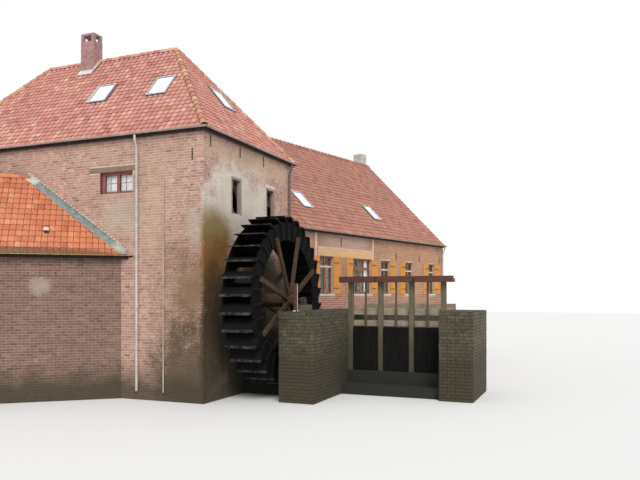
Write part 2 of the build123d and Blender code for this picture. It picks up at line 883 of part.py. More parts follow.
breast_radius = wheel_radius + breast_clearance
with BuildPart() as wheel_breast:
    with BuildSketch(Plane.YZ):
        with Locations((wheel_centre_y, 0)):
            Rectangle(masonry_back - wheel_centre_y, breast_crest, align=(Align.MIN, Align.MIN))
        with Locations((wheel_centre_y, axle_z)):
            Circle(breast_radius, mode=Mode.SUBTRACT)
    extrude(amount=pier_left)

abutment_left = pier_right + post_size + bay_count * bay_width
with BuildPart() as weir_apron:
    with BuildSketch(Plane.YZ.offset(pier_right)):
        with BuildLine():
            Polyline(
                (apron_front, 0),
                (apron_front, apron_step_height),
                (apron_front + apron_step_depth, apron_step_height),
                (apron_front + apron_step_depth, apron_top),
                (masonry_back, apron_top),
                (masonry_back, 0),
                close=True,
            )
        make_face()
    extrude(amount=abutment_left - pier_right)

with BuildPart() as right_abutment:
    with BuildSketch(Plane.XY):
        with Locations((abutment_left, abutment_front)):
            Rectangle(abutment_width, masonry_back - abutment_front, align=(Align.MIN, Align.MIN))
    extrude(amount=pier_top)

# Sluice bridge
post_centres = [pier_right + post_size / 2 + bay * bay_width for bay in range(bay_count + 1)]
bay_centres = [centre + bay_width / 2 for centre in post_centres[:-1]]
post_middle = sluice_front + post_size / 2
posts_back = sluice_front + post_size
with BuildPart() as sluice_posts:
    with BuildSketch(Plane.XY.offset(apron_top)):
        with Locations(*[(centre, post_middle) for centre in post_centres]):
            Rectangle(post_size, post_size)
        for centre in bay_centres:
            with Locations((centre, post_middle)):
                Rectangle(bay_width - post_size + 2 * groove_depth, groove_width, mode=Mode.SUBTRACT)
    extrude(amount=headstock_bottom - apron_top)

deck_width = abutment_left - pier_right
with BuildPart() as sluice_beams:
    for bottom, height, depth in (
        (lower_beam_bottom, lower_beam_height, lower_beam_depth),
        (pier_top + plank_thickness - fascia_height, fascia_height, fascia_depth),
    ):
        with BuildSketch(Plane.XY.offset(bottom)):
            with Locations((pier_right, posts_back)):
                Rectangle(deck_width, depth, align=(Align.MIN, Align.MIN))
        extrude(amount=height)
    with BuildSketch(Plane.XY.offset(pier_top - joist_height)):
        inner_joist_y = masonry_back - inner_joist_back
        with Locations((pier_right, masonry_back - joist_width), (pier_right, inner_joist_y)):
            Rectangle(deck_width, joist_width, align=(Align.MIN, Align.MIN))
    extrude(amount=joist_height)

with BuildPart() as sluice_deck:
    with BuildSketch(Plane.XY.offset(pier_top)):
        with Locations((pier_right, posts_back + fascia_depth)):
            Rectangle(
                deck_width,
                masonry_back - kerb_thickness - posts_back - fascia_depth,
                align=(Align.MIN, Align.MIN),
            )
    extrude(amount=plank_thickness)

with BuildPart() as deck_kerb:
    with BuildSketch(Plane.XY.offset(pier_top)):
        with Locations((pier_right, masonry_back - kerb_thickness)):
            Rectangle(deck_width, kerb_thickness, align=(Align.MIN, Align.MIN))
    extrude(amount=plank_thickness + kerb_height)

with BuildPart() as headstock:
    with BuildSketch(Plane.XY.offset(headstock_bottom)):
        with Locations((pier_right - headstock_end, sluice_front)):
            Rectangle(deck_width + 2 * headstock_end, post_size, align=(Align.MIN, Align.MIN))
        hole = stem_size + 2 * gate_clearance
        with Locations(*[(centre, post_middle) for centre in bay_centres]):
            Rectangle(hole, hole, mode=Mode.SUBTRACT)
    extrude(amount=headstock_height)

# Flower boxes, full of earth to a little below their rims
with BuildPart() as flower_boxes:
    planter_spacing = (deck_width + 2 * headstock_end) / bay_count
    planter_length = planter_spacing - planter_gap
    planter_places = [
        (pier_right - headstock_end + (bay + 0.5) * planter_spacing, sluice_front - planter_depth / 2)
        for bay in range(bay_count)
    ]
    with BuildSketch(Plane.XY.offset(headstock_bottom)):
        with Locations(*planter_places):
            Rectangle(planter_length, planter_depth)
    extrude(amount=planter_height)
    with BuildSketch(Plane.XY.offset(headstock_bottom + planter_height - planter_earth_drop)):
        with Locations(*planter_places):
            Rectangle(planter_length - 2 * planter_sheet, planter_depth - 2 * planter_sheet)
    extrude(amount=planter_earth_drop, mode=Mode.SUBTRACT)

gate_width = bay_width - post_size + 2 * (groove_depth - gate_clearance)


def gate(centre):
    # A plank gate in the grooves of two posts, with the stem that lifts it
    with BuildPart() as made:
        with BuildSketch(Plane.XY.offset(apron_top + gate_seat)):
            with Locations((centre, post_middle)):
                Rectangle(gate_width, gate_thickness)
        extrude(amount=gate_top - apron_top - gate_seat)
        with BuildSketch(Plane.XY.offset(gate_top)):
            with Locations((centre, post_middle)):
                Rectangle(stem_size, stem_size)
        extrude(amount=headstock_bottom + headstock_height + stem_above - gate_top)
    return made


gates = {f"gate_{number}": gate(centre) for number, centre in enumerate(bay_centres, 1)}

# Wheel
wheel_far = wheel_gap
wheel_near = wheel_gap + wheel_width


def wheel_plane(x):
    # Across the axle at a distance from the wheel wall: x is the block's Y, y is up
    return Plane(origin=(x, wheel_centre_y, axle_z), x_dir=(0, 1, 0), z_dir=(1, 0, 0))


# The rims are rings of straight felloes, two to a bucket
rim_sides = 2 * bucket_count
rim_far = wheel_far + arm_thickness
rim_near = wheel_near - arm_thickness - rim_thickness
with BuildPart() as wheel_rims:
    for x in (rim_far, rim_near):
        with BuildSketch(wheel_plane(x)):
            RegularPolygon(rim_outer_radius, rim_sides)
            RegularPolygon(rim_inner_radius, rim_sides, mode=Mode.SUBTRACT)
        extrude(amount=rim_thickness)

with BuildPart() as wheel_arms:
    arm_length = rim_outer_radius - arm_end_gap - arm_root_radius
    arm_middle = arm_root_radius + arm_length / 2
    for x in (wheel_far, wheel_near - arm_thickness):
        with BuildSketch(wheel_plane(x)):
            with PolarLocations(arm_middle, arm_count, start_angle=arm_turn):
                Rectangle(arm_length, arm_width)
        extrude(amount=arm_thickness)

# Each bucket is a radial board with an outer board that leans back from it, and a sole board at its foot
lean = radians(float_lean)
tip_shift = (wheel_radius - knee_radius) * tan(lean)
tip_width = float_thickness / cos(lean)
with BuildSketch() as bucket_board:
    with BuildLine():
        Polyline(
            (0, rim_inner_radius),
            (float_thickness, rim_inner_radius),
            (float_thickness, knee_radius),
            (tip_width - tip_shift, wheel_radius),
            (-tip_shift, wheel_radius),
            (0, knee_radius),
            close=True,
        )
    make_face()

# Beyond the rims the outer board runs on over their edges
with BuildSketch() as bucket_tip:
    add(bucket_board.sketch)
    Circle(rim_outer_radius, mode=Mode.SUBTRACT)

sole_width = rim_inner_radius * radians(360 / bucket_count) * sole_share
with BuildSketch() as sole_board:
    with Locations((float_thickness, rim_inner_radius)):
        Rectangle(sole_width, sole_thickness, align=(Align.MIN, Align.MIN))

bucket_length = rim_near - rim_far - rim_thickness
with BuildPart() as wheel_buckets:
    with BuildSketch(wheel_plane(rim_far + rim_thickness)):
        with PolarLocations(0, bucket_count, start_angle=bucket_turn):
            add(bucket_board.sketch)
    extrude(amount=bucket_length)
    with BuildSketch(wheel_plane(rim_far)):
        with PolarLocations(0, bucket_count, start_angle=bucket_turn):
            add(bucket_tip.sketch)
    extrude(amount=rim_near + rim_thickness - rim_far)

with BuildPart() as wheel_sole:
    with BuildSketch(wheel_plane(rim_far + rim_thickness)):
        with PolarLocations(0, bucket_count, start_angle=bucket_turn):
            add(sole_board.sketch)
    extrude(amount=bucket_length)

with BuildPart() as axle:
    with BuildSketch(wheel_plane(wheel_far - axle_end)):
        RegularPolygon(axle_radius, axle_sides, rotation=180 / axle_sides)
    extrude(amount=wheel_width + 2 * axle_end)

with BuildPart() as axle_flanges:
    for x in (rim_far, rim_near + rim_thickness - flange_thickness):
        with BuildSketch(wheel_plane(x)):
            Circle(flange_radius)
            RegularPolygon(axle_radius, axle_sides, rotation=180 / axle_sides, mode=Mode.SUBTRACT)
        extrude(amount=flange_thickness)

outer_bearing_x = pier_left + bearing_setback
inner_bearing_x = -bearing_setback - bearing_length
with BuildPart() as gudgeons:
    for start, end in (
        (inner_bearing_x, wheel_far - axle_end),
        (wheel_near + axle_end, outer_bearing_x + bearing_length),
    ):
        with BuildSketch(wheel_plane(start)):
            Circle(gudgeon_radius)
        extrude(amount=end - start)

with BuildPart() as bearings:
    for x in (inner_bearing_x, outer_bearing_x):
        with BuildSketch(wheel_plane(x)):
            with Locations((0, -bearing_height)):
                Rectangle(bearing_width, bearing_base, align=(Align.CENTER, Align.MIN))
                shell_width = 2 * (gudgeon_radius + bearing_shell)
                Rectangle(shell_width, bearing_height, align=(Align.CENTER, Align.MIN))
            Circle(gudgeon_radius + bearing_shell)
            Circle(gudgeon_radius + gudgeon_clearance, mode=Mode.SUBTRACT)
        extrude(amount=bearing_length)

with BuildPart() as bearing_timbers:
    timber_height = axle_z - bearing_height - pier_top
    for x in (inner_bearing_x, outer_bearing_x):
        with BuildSketch(Plane.XY.offset(pier_top)):
            with Locations((x - bearing_timber_side, wheel_centre_y)):
                Rectangle(
                    bearing_length + 2 * bearing_timber_side,
                    bearing_timber_length,
                    align=(Align.MIN, Align.CENTER),
                )
        extrude(amount=timber_height)

# A board on edge beside the outer bearing, with a foot across it
with BuildPart() as pier_guard:
    with BuildSketch(Plane.XY.offset(pier_top)):
        with Locations((guard_x + guard_width / 2, guard_y)):
            Rectangle(guard_width, guard_thickness)
    extrude(amount=guard_height)
    with BuildSketch(Plane.XY.offset(pier_top)):
        with Locations((guard_x + guard_width / 2, guard_y)):
            Rectangle(guard_thickness, guard_foot)
    extrude(amount=guard_thickness)

pieces = {
    "mill_front_wall": mill_front_wall,
    "mill_wheel_wall": mill_wheel_wall,
    "mill_back_wall": mill_back_wall,
    "mill_end_wall": mill_end_wall,
    "mill_floors": mill_floors,
    "mill_roof_front": mill_roof_front,
    "mill_roof_wheel_end": mill_roof_wheel_end,
    "mill_roof_back": mill_roof_back,
    "mill_roof_far_end": mill_roof_far_end,
    "mill_ridge_tiles": mill_ridge_tiles,
    "mill_chimney": mill_chimney,
    "wing_front_wall": wing_front_wall,
    "wing_back_wall": wing_back_wall,
    "wing_gable_wall": wing_gable_wall,
    "wing_floor": wing_floor,
    "wing_roof_front": wing_roof_front,
    "wing_roof_back": wing_roof_back,
    "wing_ridge_tiles": wing_ridge_tiles,
    "wing_chimney": wing_chimney,
    "annex_front_wall": annex_front_wall,
    "annex_back_wall": annex_back_wall,
    "annex_gable_wall": annex_gable_wall,
    "annex_roof_front": annex_roof_front,
    "annex_roof_back": annex_roof_back,
    "annex_ridge_tiles": annex_ridge_tiles,
    "annex_flashing": annex_flashing,
    "window_frames": window_frames,
    "window_glass": window_glass,
    "lintels": lintels,
    "window_sills": window_sills,
    "shutters": shutters,
    "skylight_frames": skylight_frames,
    "skylight_glass": skylight_glass,
    "gutters": gutters,
    "downpipes": downpipes,
    "wall_anchors": wall_anchors,
    "mid_pier": mid_pier,
    "wheel_breast": wheel_breast,
    "weir_apron": weir_apron,
    "right_abutment": right_abutment,
    "sluice_posts": sluice_posts,
    "sluice_beams": sluice_beams,
    "sluice_deck": sluice_deck,
    "deck_kerb": deck_kerb,
    "headstock": headstock,
    "flower_boxes": flower_boxes,
    **gates,
    "wheel_rims": wheel_rims,
    "wheel_arms": wheel_arms,
    "wheel_buckets": wheel_buckets,
    "wheel_sole": wheel_sole,
    "axle": axle,
    "axle_flanges": axle_flanges,
    "gudgeons": gudgeons,
    "bearings": bearings,
    "bearing_timbers": bearing_timbers,
    "pier_guard": pier_guard,
}
for name, piece in pieces.items():
    piece.part.label = name
    export_step(piece.part, f"parts/{name}.step")
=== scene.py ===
import json
import math
import random
import bpy
from mathutils import Euler, Matrix, Vector

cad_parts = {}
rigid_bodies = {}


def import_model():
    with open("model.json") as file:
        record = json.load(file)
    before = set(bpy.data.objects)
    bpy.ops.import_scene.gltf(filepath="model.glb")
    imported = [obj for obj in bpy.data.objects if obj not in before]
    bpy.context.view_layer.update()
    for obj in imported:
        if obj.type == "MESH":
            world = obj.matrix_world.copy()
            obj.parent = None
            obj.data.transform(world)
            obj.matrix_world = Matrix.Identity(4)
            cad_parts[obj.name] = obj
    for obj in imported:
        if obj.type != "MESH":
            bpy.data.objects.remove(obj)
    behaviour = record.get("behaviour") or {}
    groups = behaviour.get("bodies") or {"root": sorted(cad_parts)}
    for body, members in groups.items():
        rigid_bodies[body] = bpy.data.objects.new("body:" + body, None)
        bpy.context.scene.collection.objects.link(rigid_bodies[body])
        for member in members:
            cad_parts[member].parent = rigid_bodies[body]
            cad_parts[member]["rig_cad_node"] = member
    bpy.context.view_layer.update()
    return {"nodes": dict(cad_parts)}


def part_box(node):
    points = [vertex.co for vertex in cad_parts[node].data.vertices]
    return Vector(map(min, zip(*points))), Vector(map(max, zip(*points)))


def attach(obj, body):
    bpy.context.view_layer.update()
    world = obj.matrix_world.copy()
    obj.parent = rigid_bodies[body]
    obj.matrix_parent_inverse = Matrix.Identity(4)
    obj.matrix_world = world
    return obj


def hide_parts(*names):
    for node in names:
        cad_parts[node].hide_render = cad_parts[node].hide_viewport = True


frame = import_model()

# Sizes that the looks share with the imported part, in metres and degrees
mill = {"length": 13.3, "depth": 6.85, "eave": 9.35, "pitch": 50.0, "overhang": 0.1, "slab": 0.12,
        "tile": (0.240, 0.238), "roofWindow": (0.9, 1.15)}
wing = {"step": 0.32, "turn": 14.4, "length": 13.76, "width": 10.4, "eave": 6.64, "pitch": 44.7,
        "overhang": 0.12, "slab": 0.12, "tile": (0.222, 0.278), "roofWindow": (0.78, 1.15)}
annex = {"corner": 3.36, "turn": 40.0, "backLength": 1.917, "width": 5.44, "eave": 5.24,
         "pitch": 46.0, "overhang": 0.2, "slab": 0.12, "tile": (0.208, 0.290)}
wheel = {"centre": Vector((0, 2.75, 3.43)), "face": 1.841, "buckets": 32, "firstBucket": 2.5, "lean": 48.0,
         "bore": 0.062, "boreRoom": 0.0003, "wearSheenFrom": 2.965, "wearSheenTo": 2.995}
up, X, Y = Vector((0, 0, 1)), Vector((1, 0, 0)), Vector((0, 1, 0))
for house in (wing, annex):
    house["bearing"] = math.radians(house["turn"])
wing["along"] = Vector((math.sin(wing["bearing"]), math.cos(wing["bearing"]), 0))
annex["along"] = Vector((math.cos(annex["bearing"]), math.sin(annex["bearing"]), 0))
annex["length"] = annex["backLength"] + annex["width"] / math.tan(annex["bearing"])
millCorner = Vector((0, 0, 0))
millLeft = Vector((-mill["length"], 0, 0))
millFar = Vector((0, mill["depth"], 0))
millFarLeft = Vector((-mill["length"], mill["depth"], 0))
wingCorner = Vector((wing["step"], mill["depth"], 0))
wingInward = up.cross(wing["along"])
wingBack = wingCorner + wingInward * wing["width"]
wingEnd = wingCorner + wing["along"] * wing["length"]
wingBackEnd = wingBack + wing["along"] * wing["length"]
annexInward = up.cross(annex["along"])
annexFar = Vector((-annex["corner"], 0, 0)) - annex["along"] * annex["length"]
annexBack = annexFar + annexInward * annex["width"]
for house, run in ((mill, mill["depth"] / 2), (wing, wing["width"] / 2), (annex, annex["width"] / 2)):
    house["angle"] = math.radians(house["pitch"])
    house["run"] = run
    house["ridge"] = house["eave"] + run * math.tan(house["angle"])
    house["wallTop"] = house["eave"] - house["slab"] / math.cos(house["angle"])


# Small tools for selecting and finishing pieces

def pick(piece):
    if bpy.context.mode != "OBJECT":
        bpy.ops.object.mode_set(mode="OBJECT")
    bpy.ops.object.select_all(action="DESELECT")
    piece.select_set(True)
    bpy.context.view_layer.objects.active = piece
    return piece


def pickParts(piece, kind, test):
    # Selects the points or faces of a mesh that pass a test, and nothing else
    pick(piece)
    mesh = piece.data
    for parts in (mesh.vertices, mesh.edges, mesh.polygons):
        parts.foreach_set("select", [False] * len(parts))
    for part in mesh.vertices if kind == "VERT" else mesh.polygons:
        part.select = test(part)
    bpy.ops.object.mode_set(mode="EDIT")
    bpy.ops.mesh.select_mode(type=kind)


def leaveEdit():
    bpy.ops.object.mode_set(mode="OBJECT")


def alter(piece, kind, test, operator, **settings):
    # Runs one operator on the points or faces that pass a test
    pickParts(piece, kind, test)
    operator(**settings)
    leaveEdit()


def settle(piece):
    # Puts the place of a piece into its mesh
    pick(piece)
    bpy.ops.object.transform_apply(location=True, rotation=True, scale=True)
    return piece


def useModifier(piece, kind, **settings):
    modifier = piece.modifiers.new(kind.lower(), kind)
    for name, value in settings.items():
        setattr(modifier, name, value)
    pick(piece)
    bpy.ops.object.modifier_apply(modifier=modifier.name)


def smooth(piece, angle):
    pick(piece)
    bpy.ops.object.shade_smooth_by_angle(angle=math.radians(angle))


def bevel(piece, width, angle=40):
    useModifier(piece, "BEVEL", width=width, segments=1, limit_method="ANGLE", angle_limit=math.radians(angle))
    return piece


def cutAway(piece, point, normal):
    # Keeps what lies on the normal's side of a plane
    pick(piece)
    bpy.ops.object.mode_set(mode="EDIT")
    bpy.ops.mesh.select_all(action="SELECT")
    bpy.ops.mesh.bisect(plane_co=point, plane_no=normal, clear_inner=True)
    leaveEdit()


def finishPiece(piece, name, body, material, replaced=()):
    piece.name = name
    piece.data.name = name
    piece.data.materials.clear()
    piece.data.materials.append(materials[material])
    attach(piece, body)
    if replaced:
        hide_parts(*replaced)
    return piece


def joinPieces(pieces):
    pick(pieces[0])
    for piece in pieces[1:]:
        piece.select_set(True)
    bpy.ops.object.join()
    return pieces[0]


# Materials

def node(tree, kind, inputs=None, **settings):
    made = tree.nodes.new(kind)
    for name, value in settings.items():
        setattr(made, name, value)
    for key, value in (inputs or {}).items():
        socket = made.inputs[key]
        if isinstance(value, bpy.types.NodeSocket):
            tree.links.new(value, socket)
        elif socket.type == "RGBA" and len(value) == 3:
            socket.default_value = (*value, 1)
        else:
            socket.default_value = value
    return made


def blend(tree, factor, first, second, mode="MIX"):
    return node(tree, "ShaderNodeMix", {0: factor, 6: first, 7: second},
                data_type="RGBA", blend_type=mode).outputs[2]


def noise(tree, vector, scale, detail=3.0, roughness=0.6):
    return node(tree, "ShaderNodeTexNoise",
                {"Vector": vector, "Scale": scale, "Detail": detail, "Roughness": roughness}).outputs[0]


def remap(tree, value, low, high, toLow=0.0, toHigh=1.0):
    return node(tree, "ShaderNodeMapRange", {0: value, 1: low, 2: high, 3: toLow, 4: toHigh}).outputs[0]


def arithmetic(tree, operation, first, second=0.0):
    return node(tree, "ShaderNodeMath", {0: first, 1: second}, operation=operation).outputs[0]


def ramp(tree, factor, stops):
    made = node(tree, "ShaderNodeValToRGB", {0: factor})
    points = made.color_ramp.elements
    while len(points) < len(stops):
        points.new(1.0)
    for point, (place, colour) in zip(points, stops):
        point.position = place
        point.color = (*colour, 1)
    return made.outputs[0]


def newGroup(name, inputs, outputs, family="Shader"):
    tree = bpy.data.node_groups.new(name, family + "NodeTree")
    kinds = {"value": "Float", "colour": "Color", "vector": "Vector", "geometry": "Geometry", "object": "Object"}
    for label, kind, default in inputs:
        socket = tree.interface.new_socket(label, in_out="INPUT", socket_type="NodeSocket" + kinds[kind])
        if default is not None:
            socket.default_value = default
    for label, kind in outputs:
        tree.interface.new_socket(label, in_out="OUTPUT", socket_type="NodeSocket" + kinds[kind])
    return tree, tree.nodes.new("NodeGroupInput").outputs, tree.nodes.new("NodeGroupOutput").inputs


def makeBlotch():
    # A soft patch round a place on the building, with a ragged edge
    tree, given, result = newGroup(
        "blotch",
        [("Vector", "vector", None), ("Centre", "vector", None), ("Reach", "vector", (1, 1, 1)),
         ("Softness", "value", 0.3), ("Raggedness", "value", 0.5), ("Strength", "value", 1.0)],
        [("Mask", "value")])
    offset = node(tree, "ShaderNodeVectorMath", {0: given["Vector"], 1: given["Centre"]}, operation="SUBTRACT")
    share = node(tree, "ShaderNodeVectorMath", {0: offset.outputs[0], 1: given["Reach"]}, operation="DIVIDE")
    distance = node(tree, "ShaderNodeVectorMath", {0: share.outputs[0]}, operation="LENGTH").outputs["Value"]
    specks = arithmetic(tree, "SUBTRACT", noise(tree, given["Vector"], 11.0, 4.0, 0.75), 0.5)
    clouds = arithmetic(tree, "SUBTRACT", noise(tree, given["Vector"], 1.1, 5.0, 0.68), 0.5)
    rough = arithmetic(tree, "ADD", clouds, arithmetic(tree, "MULTIPLY", specks, 0.8))
    rough = arithmetic(tree, "MULTIPLY", rough, given["Raggedness"])
    edge = arithmetic(tree, "ADD", distance, arithmetic(tree, "MULTIPLY", rough, 2.4))
    low = arithmetic(tree, "SUBTRACT", 1.0, given["Softness"])
    mask = remap(tree, edge, low, 1.0, 1.0, 0.0)
    tree.links.new(arithmetic(tree, "MULTIPLY", mask, given["Strength"]), result["Mask"])
    return tree


def makeGrime():
    # Broad stains, fine specks and a damp foot
    tree, given, result = newGroup(
        "grime",
        [("Vector", "vector", None), ("Colour", "colour", None), ("Grime", "colour", (0.1, 0.08, 0.05, 1)),
         ("Amount", "value", 0.4), ("Scale", "value", 1.0), ("Damp", "colour", (0.05, 0.045, 0.025, 1)),
         ("Damp top", "value", 1.0)],
        [("Colour", "colour"), ("Height", "value")])
    scaled = node(tree, "ShaderNodeVectorMath", {0: given["Vector"], 3: given["Scale"]}, operation="SCALE").outputs[0]
    broad = remap(tree, noise(tree, scaled, 0.55, 5.0, 0.65), 0.45, 0.75)
    fine = remap(tree, noise(tree, scaled, 9.0, 3.0, 0.6), 0.5, 0.8)
    stained = blend(tree, arithmetic(tree, "MULTIPLY", broad, given["Amount"]), given["Colour"], given["Grime"])
    specked = blend(tree, arithmetic(tree, "MULTIPLY", fine, given["Amount"]), stained, given["Grime"])
    height = node(tree, "ShaderNodeSeparateXYZ", {0: given["Vector"]}).outputs["Z"]
    wavy = arithmetic(tree, "ADD", height, arithmetic(tree, "MULTIPLY", noise(tree, scaled, 1.3, 4.0), 0.9))
    top = arithmetic(tree, "ADD", given["Damp top"], 0.9)
    damp = remap(tree, wavy, arithmetic(tree, "SUBTRACT", top, 0.9), top, 0.85, 0.0)
    tree.links.new(blend(tree, damp, specked, given["Damp"]), result["Colour"])
    tree.links.new(noise(tree, scaled, 14.0, 4.0, 0.7), result["Height"])
    return tree


def makeGrain():
    # Long streaks along the timber and a few dark checks
    tree, given, result = newGroup(
        "grain",
        [("Vector", "vector", None), ("Stretch", "vector", (1, 1, 1)), ("Light", "colour", None),
         ("Dark", "colour", None), ("Amount", "value", 1.0)],
        [("Colour", "colour"), ("Height", "value")])
    scaled = node(tree, "ShaderNodeVectorMath", {0: given["Vector"], 1: given["Stretch"]},
                  operation="MULTIPLY").outputs[0]
    streak = noise(tree, scaled, 1.0, 6.0, 0.62)
    checks = remap(tree, noise(tree, scaled, 2.3, 2.0, 0.5), 0.60, 0.72)
    tone = remap(tree, streak, 0.32, 0.68)
    mixed = blend(tree, arithmetic(tree, "MULTIPLY", tone, given["Amount"]), given["Dark"], given["Light"])
    darker = blend(tree, arithmetic(tree, "MULTIPLY", checks, 0.7), mixed, given["Dark"])
    tree.links.new(darker, result["Colour"])
    tree.links.new(arithmetic(tree, "SUBTRACT", streak, arithmetic(tree, "MULTIPLY", checks, 0.6)), result["Height"])
    return tree


blotchGroup, grimeGroup, grainGroup = makeBlotch(), makeGrime(), makeGrain()


def startMaterial(name, roughness, **plain):
    material = bpy.data.materials.new(name)
    material.use_nodes = True
    tree = material.node_tree
    shader = tree.nodes["Principled BSDF"]
    shader.inputs["Roughness"].default_value = roughness
    for key, value in plain.items():
        shader.inputs[key.replace("_", " ")].default_value = value
    place = node(tree, "ShaderNodeTexCoord").outputs["Object"]
    return material, tree, shader, place


def connect(tree, shader, colour, height=None, bump=0.3, distance=0.01):
    tree.links.new(colour, shader.inputs["Base Color"])
    if height is not None:
        made = node(tree, "ShaderNodeBump", {"Strength": bump, "Distance": distance, "Height": height})
        tree.links.new(made.outputs[0], shader.inputs["Normal"])


def placeGroup(tree, group, inputs):
    made = tree.nodes.new("ShaderNodeGroup")
    made.node_tree = group
    for key, value in inputs.items():
        socket = made.inputs[key]
        if isinstance(value, bpy.types.NodeSocket):
            tree.links.new(value, socket)
        elif socket.type == "RGBA":
            socket.default_value = (*value[:3], 1)
        else:
            socket.default_value = value
    return made.outputs


def grey(tree, value):
    return node(tree, "ShaderNodeCombineColor", {0: value, 1: value, 2: value}).outputs[0]


def paintMask(tree, name):
    return node(tree, "ShaderNodeAttribute", attribute_name=name).outputs["Fac"]


def shadeColour(tree, palette):
    # The colour of one laid piece: palette runs from the darkest to the palest
    return ramp(tree, paintMask(tree, "shade"), [(i / (len(palette) - 1), c) for i, c in enumerate(palette)])


def addPatches(tree, place, colour, patches):
    # patches: colour, centre, reach, raggedness, strength, softness
    for tint, centre, reach, raggedness, strength, softness in patches:
        mask = placeGroup(tree, blotchGroup, {"Vector": place, "Centre": centre, "Reach": reach,
                                              "Raggedness": raggedness, "Strength": strength,
                                              "Softness": softness})["Mask"]
        colour = blend(tree, mask, colour, (*tint, 1))
    return colour


def addGrime(tree, place, colour, grime, amount, dampTop, **more):
    return placeGroup(tree, grimeGroup, {"Vector": place, "Colour": colour, "Grime": grime, "Amount": amount,
                                         "Damp top": dampTop, **more})


def brickMaterial(name, palette, grimeAmount=0.35, patches=(), dampTop=0.8):
    material, tree, shader, place = startMaterial(name, 0.9)
    cloud = remap(tree, noise(tree, place, 7.0, 4.0, 0.7), 0.3, 0.7, 0.72, 1.2)
    colour = blend(tree, 1.0, shadeColour(tree, palette), grey(tree, cloud), "MULTIPLY")
    colour = addPatches(tree, place, colour, patches)
    grimy = addGrime(tree, place, colour, (0.16, 0.12, 0.085), grimeAmount, dampTop, Damp=(0.045, 0.035, 0.018))
    connect(tree, shader, grimy["Colour"], grimy["Height"], 0.5, 0.006)
    return material


def plainMaterial(name, light, dark, roughness=0.8, scale=2.0, bump=0.3, grime=(0.1, 0.08, 0.05),
                  grimeAmount=0.3, dampTop=-3.0, patches=(), damp=(0.05, 0.045, 0.025), **plain):
    material, tree, shader, place = startMaterial(name, roughness, **plain)
    tone = remap(tree, noise(tree, place, scale, 5.0, 0.65), 0.35, 0.65)
    colour = addPatches(tree, place, blend(tree, tone, (*dark, 1), (*light, 1)), patches)
    grimy = addGrime(tree, place, colour, grime, grimeAmount, dampTop, Damp=damp)
    connect(tree, shader, grimy["Colour"], grimy["Height"], bump, 0.006)
    return material


def timberMaterial(name, light, dark, stretch, roughness=0.75, grimeAmount=0.3, grime=(0.05, 0.05, 0.03),
                   dampTop=-3.0, bump=0.5, **plain):
    material, tree, shader, place = startMaterial(name, roughness, **plain)
    grain = placeGroup(tree, grainGroup, {"Vector": place, "Stretch": stretch, "Light": light, "Dark": dark})
    grimy = addGrime(tree, place, grain["Colour"], grime, grimeAmount, dampTop)
    connect(tree, shader, grimy["Colour"], grain["Height"], bump, 0.01)
    return material


def tileMaterial(name, palette, lichen, lichenAmount, shadow, patches=()):
    material, tree, shader, place = startMaterial(name, 0.75)
    colour = addPatches(tree, place, shadeColour(tree, palette), patches)
    grimy = addGrime(tree, place, colour, lichen, lichenAmount, -3.0)
    # Painted shade in the trough of each pantile: the trough's mask times the shadow strength darkens the colour
    troughShade = arithmetic(tree, "MULTIPLY", paintMask(tree, "troughShade"), shadow)
    connect(tree, shader, blend(tree, troughShade, grimy["Colour"], (0.05, 0.022, 0.016, 1)), grimy["Height"], 0.35, 0.006)
    return material


def wetWheelMaterial(name, light, dark, lip):
    # Wet black wood; the part furthest from the axle is painted paler, partly wear and partly a painted highlight of
    # wet sheen
    material, tree, shader, place = startMaterial(name, 0.85, Specular_IOR_Level=0.08)
    grain = placeGroup(tree, grainGroup, {"Vector": place, "Stretch": (2.0, 16.0, 16.0), "Light": light, "Dark": dark})
    turned = node(tree, "ShaderNodeMapping", {"Location": tuple(-wheel["centre"]), "Scale": (0, 1, 1),
                                               "Vector": place})
    radius = node(tree, "ShaderNodeVectorMath", {0: turned.outputs[0]}, operation="LENGTH").outputs["Value"]
    # Painted highlight of wet sheen, with some wear, towards the outer ends of the buckets
    outer = remap(tree, radius, wheel["wearSheenFrom"], wheel["wearSheenTo"])
    wearAndSheen = arithmetic(tree, "MULTIPLY", outer, remap(tree, noise(tree, place, 6.0), 0.35, 0.6))
    colour = blend(tree, arithmetic(tree, "MULTIPLY", wearAndSheen, 0.55), grain["Colour"], (*lip, 1))
    growth = addGrime(tree, place, colour, (0.009, 0.010, 0.006), 0.5, -9.0, Scale=2.0)
    connect(tree, shader, growth["Colour"], grain["Height"], 0.6, 0.012)
    return material


mossy = (0.12, 0.075, 0.04)
millPalette = [(0.25, 0.125, 0.105), (0.37, 0.20, 0.165), (0.47, 0.265, 0.22), (0.54, 0.32, 0.25), (0.60, 0.42, 0.33)]
wingPalette = [(0.22, 0.085, 0.062), (0.32, 0.135, 0.092), (0.37, 0.172, 0.118), (0.41, 0.21, 0.14), (0.46, 0.29, 0.20)]
wheelPatches = [
    ((0.62, 0.42, 0.30), (0, 3.4, 8.6), (0.2, 4.2, 0.55), 0.45, 0.55, 0.3),
    ((0.70, 0.65, 0.57), (0, 2.5, 6.9), (0.2, 3.1, 1.65), 0.60, 0.88, 0.4),
    ((0.23, 0.165, 0.04), (0, 0.75, 5.70), (0.2, 1.35, 1.05), 0.45, 0.95, 0.5),
    ((0.22, 0.088, 0.010), (0, 0.75, 4.65), (0.2, 1.45, 1.25), 0.45, 0.97, 0.45),
    # The next three: wet dark stains, partly painted shade of the wheel on the wall beside and below it
    ((0.090, 0.042, 0.010), (0, 0.8, 3.5), (0.2, 1.4, 1.5), 0.42, 0.96, 0.5),
    ((0.045, 0.024, 0.008), (0, 0.8, 1.9), (0.2, 2.1, 2.7), 0.38, 0.96, 0.5),
    ((0.026, 0.022, 0.010), (0, 4.4, 2.2), (0.2, 4.1, 3.8), 0.30, 0.97, 0.3),
]
